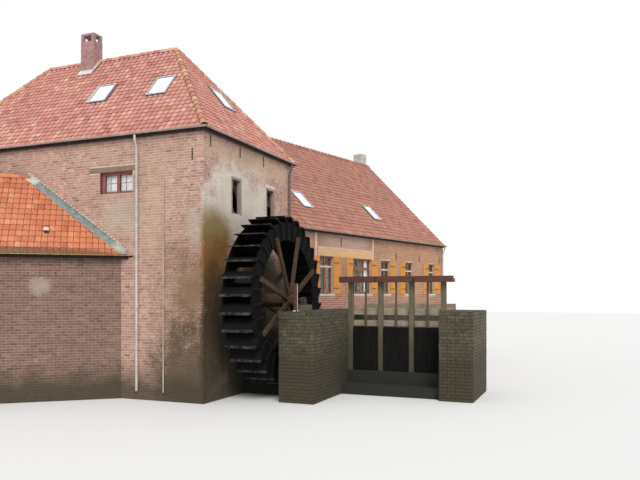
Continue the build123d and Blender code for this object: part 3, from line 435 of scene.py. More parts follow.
frontPatches = [
    ((0.44, 0.37, 0.29), (-3.3, 0, 6.4), (1.2, 0.2, 0.85), 0.50, 0.70, 0.5),
    ((0.50, 0.35, 0.20), (-1.9, 0, 7.0), (0.55, 0.2, 2.4), 0.45, 0.40, 0.3),
    ((0.17, 0.095, 0.036), (-0.40, 0, 3.7), (1.9, 0.2, 2.9), 0.80, 0.80, 0.8),
    ((0.060, 0.042, 0.019), (-0.6, 0, 1.1), (2.0, 0.2, 2.2), 0.60, 0.84, 0.6),
    ((0.48, 0.42, 0.35), (-0.35, 0, 5.95), (0.4, 0.2, 0.9), 0.65, 0.55, 0.5),
]
wingPatches = [
    ((0.46, 0.31, 0.27), (1.24, 10.44, 6.1), (1.2, 2.27, 0.75), 0.06, 0.75, 0.3),
    ((0.56, 0.27, 0.13), (2.9, 16.9, 5.0), (2.0, 5.5, 1.6), 0.50, 0.45, 0.3),
    ((0.54, 0.27, 0.12), (0.45, 7.4, 5.2), (0.6, 0.8, 1.6), 0.40, 0.45, 0.3),
    # Painted shade under the deck, over the lowest part of the wing wall
    ((0.012, 0.010, 0.007), (1.8, 12.8, 0.9), (14.0, 30.0, 2.15), 0.10, 0.98, 0.1),
]


def look(*values, **more):
    # What the function that makes a material takes after the name
    return values, more


looks = {}
looks[brickMaterial] = {
    # The block's bricks and mortar carry the painted shade by the wheel, the wing's the painted shade under the deck
    "millBrick": look(millPalette, 0.30, frontPatches + wheelPatches, 0.9),
    "wingBrick": look(wingPalette, 0.25, wingPatches, 0.9),
    "wingBackBrick": look(wingPalette, 0.25, dampTop=0.9),
    "annexBrick": look(
        [(0.11, 0.055, 0.045), (0.15, 0.075, 0.060), (0.19, 0.10, 0.080), (0.235, 0.135, 0.10), (0.29, 0.19, 0.14)],
        0.35, [((0.44, 0.37, 0.30), (-5.3, -1.8, 3.9), (0.42, 0.5, 0.42), 0.6, 0.6, 0.4)], 0.9),
    "chimneyBrick": look(
        [(0.27, 0.13, 0.125), (0.35, 0.18, 0.175), (0.40, 0.22, 0.215), (0.44, 0.26, 0.25), (0.48, 0.31, 0.29)],
        0.2, dampTop=-3.0),
    "pierStone": look(
        [(0.028, 0.028, 0.014), (0.045, 0.042, 0.022), (0.065, 0.057, 0.032), (0.090, 0.075, 0.045),
         (0.12, 0.10, 0.065)], 0.6, dampTop=1.6),
}
looks[plainMaterial] = {
    "annexMortar": look((0.42, 0.34, 0.27), (0.28, 0.22, 0.17), 0.95, 6.0, dampTop=0.9),
    # The mortar takes the same patches, the painted shade by the wheel among them
    "mortar": look((0.70, 0.60, 0.47), (0.54, 0.45, 0.35), 0.95, 6.0, grime=(0.25, 0.2, 0.15), dampTop=0.9,
        patches=wheelPatches[2:] + frontPatches[2:4]),
    # The wing's mortar takes the painted shade under the deck
    "wingMortar": look((0.64, 0.52, 0.39), (0.48, 0.38, 0.28), 0.95, 6.0, grime=(0.25, 0.2, 0.15), dampTop=0.9,
        patches=wingPatches[3:]),
    "wetMortar": look((0.060, 0.056, 0.036), (0.026, 0.026, 0.016), 0.9, 4.0, grime=(0.02, 0.025, 0.010),
        grimeAmount=0.7, dampTop=1.6, damp=(0.014, 0.013, 0.009)),
    "slotRender": look((0.37, 0.28, 0.225), (0.25, 0.19, 0.15), 0.9, 4.0, 0.25),
    "plaster": look((0.68, 0.65, 0.58), (0.55, 0.52, 0.46), 0.9, 3.0, 0.15),
    "paleStone": look((0.66, 0.62, 0.56), (0.50, 0.46, 0.41), 0.8, 8.0, 0.25, grimeAmount=0.2),
    "whiteStone": look((0.62, 0.61, 0.56), (0.48, 0.46, 0.42), 0.85, 3.0, 0.3),
    "rodRust": look((0.17, 0.09, 0.065), (0.09, 0.05, 0.04), 0.7, 9.0),
    "zinc": look((0.74, 0.72, 0.70), (0.58, 0.56, 0.54), 0.45, 5.0, 0.08, (0.25, 0.22, 0.19), Metallic=0.15),
    "mossyZinc": look((0.46, 0.38, 0.34), (0.30, 0.24, 0.21), 0.7, 3.0, 0.2, (0.16, 0.14, 0.10), 0.4),
    "frontPipe": look((0.60, 0.55, 0.52), (0.47, 0.43, 0.40), 0.6, 5.0, 0.1),
    "thinPipe": look((0.55, 0.44, 0.32), (0.40, 0.31, 0.23), 0.7, 5.0, 0.1),
    "sidePipe": look((0.16, 0.125, 0.125), (0.09, 0.07, 0.07), 0.7, 5.0, 0.1),
    "rimPaint": look((0.62, 0.34, 0.13), (0.40, 0.20, 0.08), 0.6, 5.0, 0.1),
    "wingGutter": look((0.42, 0.31, 0.24), (0.28, 0.20, 0.155), 0.75, 3.0, 0.1),
    # Near-black eave board, also painted shade under the eaves and gutters
    "eaveBoard": look((0.05, 0.03, 0.025), (0.02, 0.013, 0.012), 0.8, 4.0, 0.3),
    "chimneyTop": look((0.44, 0.27, 0.27), (0.30, 0.18, 0.185), 0.85, 6.0, 0.3),
    "revealShade": look((0.13, 0.07, 0.055), (0.07, 0.04, 0.035), 0.9, 6.0, 0.3),
    "beigeStrip": look((0.76, 0.60, 0.44), (0.58, 0.44, 0.32), 0.9, 4.0, 0.2),
    "whitePaint": look((0.76, 0.70, 0.64), (0.58, 0.50, 0.45), 0.6, 6.0, 0.1),
    # Paler grey for the upward faces of the roof window frames: painted light
    "trimTop": look((0.60, 0.59, 0.62), (0.46, 0.46, 0.49), 0.35, 3.0, 0.05, Metallic=0.2),
    # Near-black: painted shade under the gutters, and on the annex the gutter's own dark brown
    "darkZinc": look((0.030, 0.020, 0.018), (0.012, 0.009, 0.009), 0.8, 4.0, 0.1, (0.03, 0.025, 0.02),
        Specular_IOR_Level=0.15),
    "lead": look((0.27, 0.31, 0.285), (0.14, 0.175, 0.155), 0.7, 7.0, 0.2, (0.08, 0.09, 0.075),
        patches=[((0.70, 0.68, 0.62), (-7.45, -0.1, 8.0), (0.45, 1.0, 0.4), 0.2, 0.8, 0.3), ((0.60, 0.56, 0.48),
        (-3.3, -0.1, 5.4), (0.45, 1.0, 0.4), 0.3, 0.7, 0.5)]),
    "iron": look((0.085, 0.06, 0.05), (0.035, 0.03, 0.03), 0.6, 9.0, 0.4, (0.16, 0.06, 0.025), 0.4, Metallic=0.6),
    "strapIron": look((0.030, 0.028, 0.028), (0.010, 0.010, 0.010), 0.9, 9.0, 0.4, (0.03, 0.02, 0.012), 0.4,
        Specular_IOR_Level=0.05),
    "windowTrim": look((0.16, 0.165, 0.175), (0.11, 0.115, 0.12), 0.4, 3.0, 0.05, Metallic=0.3),
    # Near-white skylight glass: painted reflection of the bright sky
    "roofGlass": look((0.86, 0.88, 0.90), (0.80, 0.83, 0.86), 0.12, 0.7, 0.0, grimeAmount=0.05,
        grime=(0.6, 0.6, 0.58)),
    "curtain": look((0.97, 0.97, 0.96), (0.93, 0.93, 0.92), 0.95, 18.0, 0.1, grimeAmount=0.03),
    "earth": look((0.06, 0.045, 0.03), (0.025, 0.02, 0.015), 1.0, 12.0, 0.9),
}
looks[timberMaterial] = {
    "slotFrame": look((0.075, 0.05, 0.04), (0.03, 0.02, 0.016), (14.0, 14.0, 3.0), 0.7),
    "floorBoards": look((0.42, 0.31, 0.21), (0.26, 0.18, 0.12), (1.2, 9.0, 9.0)),
    "frameRed": look((0.31, 0.10, 0.078), (0.21, 0.06, 0.047), (14.0, 14.0, 3.0), 0.5, bump=0.2),
    "wingFrame": look((0.30, 0.115, 0.050), (0.19, 0.065, 0.028), (14.0, 14.0, 3.0), 0.5, bump=0.2),
    "shutterStain": look((0.70, 0.30, 0.036), (0.50, 0.185, 0.018), (22.0, 22.0, 1.6), 0.55, 0.25,
        (0.25, 0.10, 0.02), bump=0.25),
    "paleTimber": look((0.72, 0.45, 0.235), (0.58, 0.34, 0.17), (3.0, 3.0, 24.0), 0.7, 0.25, (0.32, 0.20, 0.12)),
    "greyTimber": look((0.30, 0.245, 0.19), (0.15, 0.115, 0.085), (3.0, 24.0, 24.0), 0.85, 0.4, (0.09, 0.08, 0.05)),
    "sluiceTimber": look((0.42, 0.34, 0.25), (0.23, 0.18, 0.12), (2.0, 18.0, 18.0), 0.85, 0.45, (0.08, 0.08, 0.04),
        1.6),
    "postTimber": look((0.19, 0.155, 0.10), (0.09, 0.075, 0.045), (18.0, 18.0, 2.0), 0.85, 0.5,
        (0.055, 0.06, 0.025), 2.2),
    "gateTimber": look((0.014, 0.013, 0.012), (0.005, 0.005, 0.005), (18.0, 18.0, 2.0), 0.9, 0.4,
        (0.010, 0.011, 0.007), Specular_IOR_Level=0.08),
    "boxPaint": look((0.115, 0.034, 0.022), (0.055, 0.018, 0.013), (3.0, 20.0, 20.0), 0.65, 0.3,
        (0.04, 0.02, 0.015)),
    "frontLintel": look((0.30, 0.195, 0.15), (0.20, 0.125, 0.095), (3.0, 3.0, 24.0), 0.85, 0.4,
        (0.15, 0.10, 0.075)),
}
looks[tileMaterial] = {
    "millTile": look([(0.38, 0.135, 0.10), (0.51, 0.205, 0.165), (0.57, 0.26, 0.21), (0.66, 0.38, 0.28)],
        (0.34, 0.24, 0.18), 0.22, 0.35),
    "wingTile": look([(0.28, 0.105, 0.08), (0.37, 0.155, 0.115), (0.43, 0.19, 0.14), (0.48, 0.24, 0.175)],
        (0.26, 0.18, 0.14), 0.28, 0.3),
    "annexTile": look([(0.46, 0.125, 0.055), (0.58, 0.18, 0.085), (0.64, 0.215, 0.10), (0.70, 0.31, 0.16)],
        (0.36, 0.20, 0.11), 0.20, 1.0, [(mossy, (-7, -2.5, 5.0), (6.0, 4.0, 0.28), 0.22, 0.85, 0.3)]),
    "hipTile": look([(0.40, 0.16, 0.11), (0.54, 0.26, 0.17), (0.62, 0.36, 0.22)], (0.40, 0.30, 0.16), 0.35, 0.0),
}
looks[wetWheelMaterial] = {
    "bucketWood": look((0.010, 0.009, 0.011), (0.003, 0.003, 0.004), (0.11, 0.105, 0.10)),
    "rimWood": look((0.006, 0.005, 0.006), (0.002, 0.002, 0.002), (0.04, 0.036, 0.032)),
    "armWood": look((0.12, 0.075, 0.048), (0.042, 0.026, 0.018), (0.1, 0.09, 0.07)),
}
materials = {name: make(name, *values, **more) for make, rows in looks.items()
             for name, (values, more) in rows.items()}


def glassMaterial():
    material, tree, shader, place = startMaterial("windowGlass", 0.02, Specular_IOR_Level=0.3)
    shader.inputs["Transmission Weight"].default_value = 1.0
    shader.inputs["IOR"].default_value = 1.45
    shader.inputs["Alpha"].default_value = 0.24
    tint = remap(tree, noise(tree, place, 1.5), 0.3, 0.7, 0.80, 0.92)
    connect(tree, shader, grey(tree, tint))
    return material


materials["windowGlass"] = glassMaterial()
print("materials", len(materials))


# Laying many like pieces: points carry each one's size, turn and shade

def makeLayer():
    tree, given, result = newGroup("pieceLayer", [("Geometry", "geometry", None), ("Master", "object", None)],
                                   [("Geometry", "geometry")], "Geometry")
    size, turn = (node(tree, "GeometryNodeInputNamedAttribute", {"Name": name},
                       data_type="FLOAT_VECTOR").outputs["Attribute"] for name in ("size", "turn"))
    points = node(tree, "GeometryNodeMeshToPoints", {"Mesh": given["Geometry"]})
    source = node(tree, "GeometryNodeObjectInfo", {"Object": given["Master"]})
    laid = node(tree, "GeometryNodeInstanceOnPoints", {
        "Points": points.outputs[0], "Instance": source.outputs["Geometry"], "Rotation": turn, "Scale": size})
    real = node(tree, "GeometryNodeRealizeInstances", {0: laid.outputs[0]})
    tree.links.new(real.outputs[0], result["Geometry"])
    return tree


pieceLayer = makeLayer()


def layPieces(name, master, places):
    # places: (position, size, turn, shade) for each copy
    mesh = bpy.data.meshes.new(name)
    mesh.from_pydata([p[0] for p in places], [], [])
    for label, kind, index in (("size", "FLOAT_VECTOR", 1), ("turn", "FLOAT_VECTOR", 2), ("shade", "FLOAT", 3)):
        attribute = mesh.attributes.new(label, kind, "POINT")
        values = [p[index] for p in places]
        if kind == "FLOAT":
            attribute.data.foreach_set("value", values)
        else:
            attribute.data.foreach_set("vector", [number for value in values for number in value])
    piece = bpy.data.objects.new(name, mesh)
    bpy.context.scene.collection.objects.link(piece)
    modifier = piece.modifiers.new("layer", "NODES")
    modifier.node_group = pieceLayer
    for item in pieceLayer.interface.items_tree:
        if item.name == "Master":
            modifier[item.identifier] = master
    pick(piece)
    bpy.ops.object.modifier_apply(modifier="layer")
    for label in ("size", "turn"):
        if label in piece.data.attributes:
            piece.data.attributes.remove(piece.data.attributes[label])
    return piece


def dropMaster(master):
    bpy.data.objects.remove(master)


# Bricks

brick = {"length": 0.238, "height": 0.076, "joint": 0.016, "perpend": 0.010, "proud": 0.005}
stone = {"length": 0.27, "height": 0.105, "joint": 0.012, "perpend": 0.012, "proud": 0.014}
laying = {"headers": 4, "drift": 0.012, "lowest": 0.012, "shortest": 0.02, "lastBit": 0.015, "merge": 0.035,
          "lap": 0.6}


def unitCube():
    bpy.ops.mesh.primitive_cube_add(size=1, location=(0.5, 0.5, 0.5))
    return settle(bpy.context.object)


def makeBrickMaster():
    # One brick without the face that lies in the wall; x along, y outwards, z up
    master = unitCube()
    alter(master, "FACE", lambda face: face.normal.y < -0.5, bpy.ops.mesh.delete, type="FACE")
    alter(master, "FACE", lambda face: face.normal.y > 0.5, bpy.ops.transform.resize,
          value=(0.985, 1, 0.95), center_override=(0.5, 0.5, 0.5))
    return master


brickMaster, boardMaster = makeBrickMaster(), unitCube()


def freeRuns(start, end, low, high, holes):
    # The stretches of a course that no opening interrupts
    runs = [(start, end)]
    for left, right, bottom, top in holes:
        if top <= low + 0.01 or bottom >= high - 0.01:
            continue
        cut = []
        for a, b in runs:
            if right <= a or left >= b:
                cut.append((a, b))
            else:
                cut += [(a, left)] if left > a else []
                cut += [(right, b)] if right < b else []
        runs = cut
    return [(a, b) for a, b in runs if b - a > 0.02]


def courses(start, end, bottom, top, holes, size, seed):
    draw = random.Random(seed)
    pitch = size["height"] + size["joint"]
    step = size["length"] + size["perpend"]
    places = []
    for course in range(int(math.ceil((top - bottom) / pitch))):
        low = bottom + course * pitch
        height = min(size["height"], top - low)
        if height < laying["lowest"]:
            continue
        unit = step / 2 if course % laying["headers"] == laying["headers"] - 1 else step
        phase = (course % 2) * step / 2 + draw.uniform(-laying["drift"], laying["drift"])
        for a, b in freeRuns(start, end, low, low + height, holes):
            x = a
            nextJoint = math.floor((a - phase) / unit) * unit + phase + unit
            while x < b - laying["lastBit"]:
                far = min(b, nextJoint - size["perpend"])
                if b - far < laying["merge"]:
                    far = b
                if far - x > laying["shortest"]:
                    proud = size["proud"] * draw.uniform(0.7, 1.15)
                    shade = min(1, max(0, draw.gauss(0.5, 0.16)))
                    places.append(((x, 0, low), (far - x, proud, height), (0, 0, 0), shade))
                x = far + size["perpend"]
                nextJoint += unit
    return places


def wallMatrix(corner, along):
    outward = along.cross(up)
    return Matrix(((along.x, outward.x, 0, corner.x), (along.y, outward.y, 0, corner.y),
                   (0, 0, 1, corner.z), (0, 0, 0, 1)))


def putAt(piece, matrix):
    piece.matrix_world = matrix
    return settle(piece)


def layWall(name, corner, along, start, end, top, holes, material, cuts, seed):
    lap = brick["proud"] * laying["lap"]
    piece = layPieces(name, brickMaster, courses(start - lap, end + lap, 0, top, holes, brick, seed))
    putAt(piece, wallMatrix(corner, along))
    for point, normal in cuts:
        cutAway(piece, point, normal)
    finishPiece(piece, name, "mill", material)


def slopeAxes(house, along):
    climb = up.cross(along) * math.cos(house["angle"]) + up * math.sin(house["angle"])
    return climb, along.cross(climb)


def slopeMatrix(house, corner, along):
    climb, normal = slopeAxes(house, along)
    origin = corner + up * house["eave"]
    return Matrix([(along[i], climb[i], normal[i], origin[i]) for i in range(3)] + [(0, 0, 0, 1)])


def gableCuts(house, front, back):
    # What a gable wall loses above the two slopes
    return [(corner + up * house["wallTop"], -slopeAxes(house, along)[1])
            for corner, along in ((front, house["along"]), (back, -house["along"]))]


# Openings in the walls: left, right, bottom, top
frontWindow = (-3.575 - 0.705, -3.575 + 0.705, 7.18, 7.95)
frontLintel = (-3.715 - 1.03, -3.715 + 1.03, 7.95, 8.14)
slots = [(centre - 0.28, centre + 0.28, 6.55, 7.77) for centre in (2.175, 4.9)]
axleHole = (2.75 - 0.45, 2.75 + 0.45, 3.05, 3.95)
wingCentres = (2.11, 5.05, 7.245, 9.695, wing["length"] - 1.48)
wingWidths = (1.04, 1.66, 0.85, 0.85, 0.74)
wingWindows = [(c - w / 2, c + w / 2, 3.65, 5.35) for c, w in zip(wingCentres, wingWidths)]
wingSills = [(a - 0.07, b + 0.07, 3.56, 3.65) for a, b, low, high in wingWindows]
wingLintel = (1.45, 5.92, 5.35, 5.74)
wingTransom = 4.89

# The annex covers part of the block's front wall, and the wing part of its back wall
annexLeft = -annex["corner"] - annex["width"] / math.sin(annex["bearing"])
annexMiddle = (annexLeft - annex["corner"]) / 2
annexFall = (annex["ridge"] - annex["eave"]) / (annexMiddle - annexLeft)
annexCover = []
band = brick["height"] + brick["joint"]
for course in range(int((annex["ridge"] + 0.1) / band) + 1):
    inset = max(0.0, (course * band - 0.10 - annex["eave"]) / annexFall)
    if annexLeft + inset < annexMiddle:
        annexCover.append((annexLeft + inset, -annex["corner"] - inset, course * band - 0.005,
                           course * band + 0.05))
wingLeftX = wingBack.x - (wingBack - millFar).y * math.tan(wing["bearing"])
wingCover = (-0.3, -wingLeftX - 0.1, -1, mill["wallTop"])
backRun = abs(mill["depth"] - wingBack.y) / math.cos(wing["bearing"])
annexBackStart = annexBack + annex["along"] * annex["backLength"]
underRidge = 0.25

for seed, row in enumerate([
        ("millFrontBricks", millCorner, X, -mill["length"], 0, mill["wallTop"],
         [frontWindow, frontLintel] + annexCover, "millBrick", []),
        ("millWheelBricks", millCorner, Y, 0, mill["depth"], mill["wallTop"], slots + [axleHole], "millBrick", []),
        ("millBackBricks", millFar, -X, 0, mill["length"], mill["wallTop"], [wingCover], "millBrick", []),
        ("millEndBricks", millFarLeft, -Y, 0, mill["depth"], mill["wallTop"], [], "millBrick", []),
        ("wingFrontBricks", wingCorner, wing["along"], 0.03, wing["length"], wing["wallTop"],
         wingWindows + wingSills + [wingLintel], "wingBrick", []),
        ("wingBackBricks", wingBackEnd, -wing["along"], 0, wing["length"] + backRun, wing["wallTop"], [],
         "wingBackBrick", [(millFar, Y)]),
        ("wingGableBricks", wingEnd, wingInward, 0, wing["width"], wing["ridge"] - underRidge, [],
         "wingBackBrick", gableCuts(wing, wingCorner, wingBack)),
        ("annexFrontBricks", annexFar, annex["along"], 0, annex["length"], annex["wallTop"], [], "annexBrick", []),
        ("annexBackBricks", annexBackStart, -annex["along"], 0.02, annex["backLength"], annex["wallTop"], [],
         "annexBrick", []),
        ("annexGableBricks", annexBack, -annexInward, 0, annex["width"], annex["ridge"] - underRidge, [],
         "annexBrick", gableCuts(annex, annexFar, annexBack))], 11):
    layWall(*row, seed)
print("bricks laid")


# Roof tiles

tile = {"width": 0.198, "row": 0.235, "lap": 0.075, "lift": 0.018, "edge": 0.014, "bed": 0.034,
        "drift": (0.003, 0.004), "rock": 0.003, "twist": 0.008, "start": 0.03, "nearHole": (0.35, 0.4), "troughShade": 0.150,
        "profile": [(-0.010, 0.018), (0.016, 0.034), (0.050, 0.028), (0.088, 0.006), (0.130, 0.0), (0.150, 0.002),
                    (0.170, 0.010), (0.200, 0.029)]}


def makeTileMaster():
    # A pantile: x across, y up the slope, z out of it; its lower end is lifted by the tile below
    bpy.ops.mesh.primitive_grid_add(x_subdivisions=len(tile["profile"]) - 1, y_subdivisions=1, size=1,
                                    location=(0.5, 0.5, 0))
    master = settle(bpy.context.object)
    columns = sorted({round(v.co.x, 5) for v in master.data.vertices})
    for vertex in master.data.vertices:
        across, height = tile["profile"][columns.index(round(vertex.co.x, 5))]
        low = vertex.co.y < 0.5
        vertex.co = Vector((across, 0.0 if low else tile["row"] + tile["lap"],
                            height + (tile["lift"] + tile["edge"] if low else 0.002)))
    # The points along the trough carry the mask for its painted shade
    troughShade = master.data.attributes.new("troughShade", "FLOAT", "POINT")
    for vertex in master.data.vertices:
        troughShade.data[vertex.index].value = 1.0 if abs(vertex.co.x - tile["troughShade"]) < 0.01 else 0.0
    pickParts(master, "VERT", lambda point: point.co.y < 1e-4)
    bpy.ops.mesh.select_mode(type="EDGE")
    bpy.ops.mesh.extrude_region_move(TRANSFORM_OT_translate={"value": (0, 0.002, -tile["edge"])})
    leaveEdit()
    return master


tileMaster = makeTileMaster()


def tilePlaces(house, start, end, seed, keep):
    draw = random.Random(seed)
    width, step = house["tile"]
    slope = math.cos(house["angle"])
    low = -house["overhang"] / slope - tile["start"]
    across, along = tile["drift"]
    top = house["run"] / slope
    size = (width / tile["width"], (step + tile["lap"]) / (tile["row"] + tile["lap"]), 1)
    places = []
    for row in range(int((top - low) / step) + 1):
        for column in range(int((end - start) / width) + 2):
            x = start + column * width + draw.uniform(-across, across)
            y = low + row * step + draw.uniform(-along, along)
            shade = min(1, max(0, draw.gauss(0.5, 0.2)))
            lift, turn = draw.uniform(0.0, tile["rock"]), draw.uniform(-tile["twist"], tile["twist"])
            if keep is None or keep(x + width / 2, y + step / 2):
                places.append(((x, y, lift - tile["bed"]), size, (0, 0, turn), shade))
    return places


def cutRoofHole(piece, centre, size):
    # Trims the tiles round a roof window, in the slope's own frame
    (x0, x1), (y0, y1) = [(centre[i] - size[i] / 2, centre[i] + size[i] / 2) for i in (0, 1)]
    dx, dy = tile["nearHole"]
    near = lambda face: x0 - dx < face.center.x < x1 + dx and y0 - dy < face.center.y < y1 + dy
    for point, normal in (((x0, 0, 0), X), ((x1, 0, 0), X), ((0, y0, 0), Y), ((0, y1, 0), Y)):
        alter(piece, "FACE", near, bpy.ops.mesh.bisect, plane_co=point, plane_no=normal)
    alter(piece, "FACE", lambda face: x0 < face.center.x < x1 and y0 < face.center.y < y1,
          bpy.ops.mesh.delete, type="FACE")


def laySlope(name, house, corner, along, start, end, seed, windows=(), keep=None, cuts=()):
    piece = layPieces(name, tileMaster, tilePlaces(house, start, end, seed, keep))
    for centre in windows:
        cutRoofHole(piece, centre, house["roofWindow"])
    putAt(piece, slopeMatrix(house, corner, along))
    inward = up.cross(along)
    for point, normal in [(corner + inward * house["run"], -inward), *cuts]:
        cutAway(piece, point, normal)
    return piece


def millSlope(name, corner, along, length, seed, windows=(), keep=None):
    inward = up.cross(along)
    hips = [(corner, along - inward), (corner + along * length, -along - inward)]
    piece = laySlope(name, mill, corner, along, -0.2, length + 0.2, seed, windows, keep, hips)
    finishPiece(piece, name, "mill", "millTile")


def wingSurface(point):
    # Height of the wing's roof over a place
    inwards = (point - wingCorner).dot(wingInward)
    return wing["eave"] + min(inwards, wing["width"] - inwards) * math.tan(wing["angle"])


def millBackShown(x, y):
    point = slopeMatrix(mill, millFar, -X) @ Vector((x, y, 0))
    return point.z > wingSurface(point) - 0.22


shift = mill["length"]
millSlope("millFrontTiles", millLeft, X, mill["length"], 31, [(shift - 5.65, 2.68), (shift - 2.89, 2.65)])
millSlope("millWheelEndTiles", millCorner, Y, mill["depth"], 32, [(4.0, 2.6)])
millSlope("millBackTiles", millFar, -X, mill["length"], 33, keep=millBackShown)
millSlope("millFarEndTiles", millFarLeft, -Y, mill["depth"], 34)


def wingSlope(name, corner, along, start, end, seed, windows=()):
    # The tiles below the block's eave stop at its back wall, and those above it at its back slope
    split = (mill["eave"] - 0.15 - wing["eave"]) / math.sin(wing["angle"])
    low = laySlope(name, wing, corner, along, start, end, seed, windows, lambda x, y: y < split,
                   [(millFar + Y * 0.01, Y)])
    high = laySlope(name + "Upper", wing, corner, along, start, end, seed + 1, keep=lambda x, y: y >= split,
                    cuts=[(millFar + up * mill["eave"], slopeAxes(mill, -X)[1])])
    piece = joinPieces([low, high])
    cutAway(piece, wingEnd + wing["along"] * 0.02, -wing["along"])
    finishPiece(piece, name, "mill", "wingTile")


wingSlope("wingFrontTiles", wingCorner, wing["along"], -5.0, wing["length"], 35, [(2.06, 1.93), (8.01, 1.87)])
wingSlope("wingBackTiles", wingBackEnd, -wing["along"], 0, wing["length"] + 6.0, 37)


def annexSlope(name, corner, along, start, end, seed):
    piece = laySlope(name, annex, corner, along, start, end, seed,
                     cuts=[(millCorner - Y * 0.185, -Y), (annexFar - annex["along"] * 0.02, annex["along"])])
    finishPiece(piece, name, "mill", "annexTile")


annexSlope("annexFrontTiles", annexFar, annex["along"], 0, annex["length"] + 4.0, 39)
annexSlope("annexBackTiles", annexBack + annex["along"] * annex["length"], -annex["along"], 0,
           annex["length"] + 0.1, 40)
print("tiles laid")


# The slabs under the tiles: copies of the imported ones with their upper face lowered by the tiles' bed

def tintFaces(piece, material, test):
    # Gives the faces that pass a test a material of their own
    piece.data.materials.append(materials[material])
    for face in piece.data.polygons:
        if test(face):
            face.material_index = len(piece.data.materials) - 1


def copyNode(packed, name):
    piece = bpy.data.objects.new(name, frame["nodes"][packed].data.copy())
    bpy.context.scene.collection.objects.link(piece)
    pick(piece)
    bpy.ops.object.mode_set(mode="EDIT")
    bpy.ops.mesh.select_all(action="SELECT")
    bpy.ops.mesh.remove_doubles(threshold=0.0001)
    bpy.ops.mesh.dissolve_limited(angle_limit=math.radians(2))
    leaveEdit()
    return piece


def replaceNode(piece, name, material, packed, body="mill"):
    return finishPiece(piece, name, body, material, (packed,))


for packed, name, along, house, material in (
        ("mill_roof_front", "millRoofFrontBed", X, mill, "millTile"),
        ("mill_roof_wheel_end", "millRoofWheelEndBed", Y, mill, "millTile"),
        ("mill_roof_back", "millRoofBackBed", -X, mill, "millTile"),
        ("mill_roof_far_end", "millRoofFarEndBed", -Y, mill, "millTile"),
        ("wing_roof_front", "wingRoofFrontBed", wing["along"], wing, "wingTile"),
        ("wing_roof_back", "wingRoofBackBed", -wing["along"], wing, "wingTile"),
        ("annex_roof_front", "annexRoofFrontBed", annex["along"], annex, "annexTile"),
        ("annex_roof_back", "annexRoofBackBed", -annex["along"], annex, "annexTile")):
    slab = copyNode(packed, name)
    normal = slopeAxes(house, along)[1]
    alter(slab, "FACE", lambda face: face.normal.dot(normal) > 0.99, bpy.ops.transform.translate,
          value=normal * -tile["bed"])
    replaceNode(slab, name, material, packed)
    # All faces but the top get the near-black eave finish: painted shade under the eave
    tintFaces(slab, "eaveBoard", lambda face: face.normal.dot(normal) < 0.9)
print("roof slabs bedded")


# Ridge and hip tiles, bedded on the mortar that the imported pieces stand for

def makeRidgeMaster():
    bpy.ops.mesh.primitive_cylinder_add(vertices=16, radius=1, depth=1, end_fill_type="NOTHING",
                                        rotation=(0, math.pi / 2, 0), location=(0.5, 0, 0))
    master = settle(bpy.context.object)
    cutAway(master, (0, 0, -0.25), (0, 0, 1))
    alter(master, "VERT", lambda point: point.co.x < 0.5, bpy.ops.transform.resize, value=(1, 1.3, 1.3),
          center_override=(0, 0, 0))
    useModifier(master, "SOLIDIFY", thickness=0.09, offset=-1)
    return master


ridgeMaster = makeRidgeMaster()


def capLine(foot, head, radius, seed, length=0.34):
    draw = random.Random(seed)
    run = head - foot
    count = max(1, round(run.length / length))
    step = run.length / count
    yaw = math.atan2(run.y, run.x)
    tilt = -math.asin(run.z / run.length)
    return [(foot + run * (n / count), (step * 1.06, radius, radius), (0, tilt, yaw), draw.random())
            for n in range(count)]


millApexes = (Vector((-mill["length"] + mill["run"], mill["run"], mill["ridge"])),
              Vector((-mill["run"], mill["run"], mill["ridge"])))
capRadius, capDrop = 0.1, 0.06
millCaps = []
for apex, side in zip(millApexes, (-1, 1)):
    for end in (-1, 1):
        reach = mill["run"] + mill["overhang"] - 0.02
        foot = apex + Vector((side * reach, end * reach, -reach * math.tan(mill["angle"])))
        millCaps += capLine(foot - up * 0.03, apex - up * capDrop, capRadius, 50 + side + end)
chimneyX = -mill["run"] - 4.11
ridgeGap = 0.36
gapLeft, gapRight = [Vector((chimneyX + side * ridgeGap, mill["run"], mill["ridge"])) for side in (-1, 1)]
wingRidgeEnd = wingEnd + wingInward * wing["run"] + up * wing["ridge"]
meet = (mill["ridge"] - wing["ridge"]) / math.tan(mill["angle"])
wingRidgeStart = wingRidgeEnd - wing["along"] * ((wingRidgeEnd.y - mill["run"] - meet) / wing["along"].y)
annexRidgeStart = annexFar + annexInward * annex["run"] + up * annex["ridge"]
annexRidgeEnd = annexRidgeStart + annex["along"] * (-annexRidgeStart.y / annex["along"].y)
millRidgeLeft, millRidgeRight, wingRidge, annexRidge = [
    capLine(start - up * capDrop, end - up * capDrop, capRadius, seed) for start, end, seed in (
        (millApexes[0], gapLeft, 61), (gapRight, millApexes[1], 62), (wingRidgeStart, wingRidgeEnd, 63),
        (annexRidgeStart, annexRidgeEnd, 65))]

for name, places, material, slot, replaced in (
        ("millHipTiles", millCaps, "hipTile", "tile", ("mill_ridge_tiles",)),
        ("millRidgeCaps", millRidgeLeft + millRidgeRight, "millTile", "tile", ()),
        ("wingRidgeCaps", wingRidge, "wingTile", "tile", ("wing_ridge_tiles",)),
        ("annexRidgeCaps", annexRidge, "annexTile", "orange_tile", ("annex_ridge_tiles",))):
    piece = layPieces(name, ridgeMaster, places)
    smooth(piece, 40)
    finishPiece(piece, name, "mill", material, replaced)
dropMaster(ridgeMaster)
print("ridges laid")


# Chimneys and stonework, laid like the walls

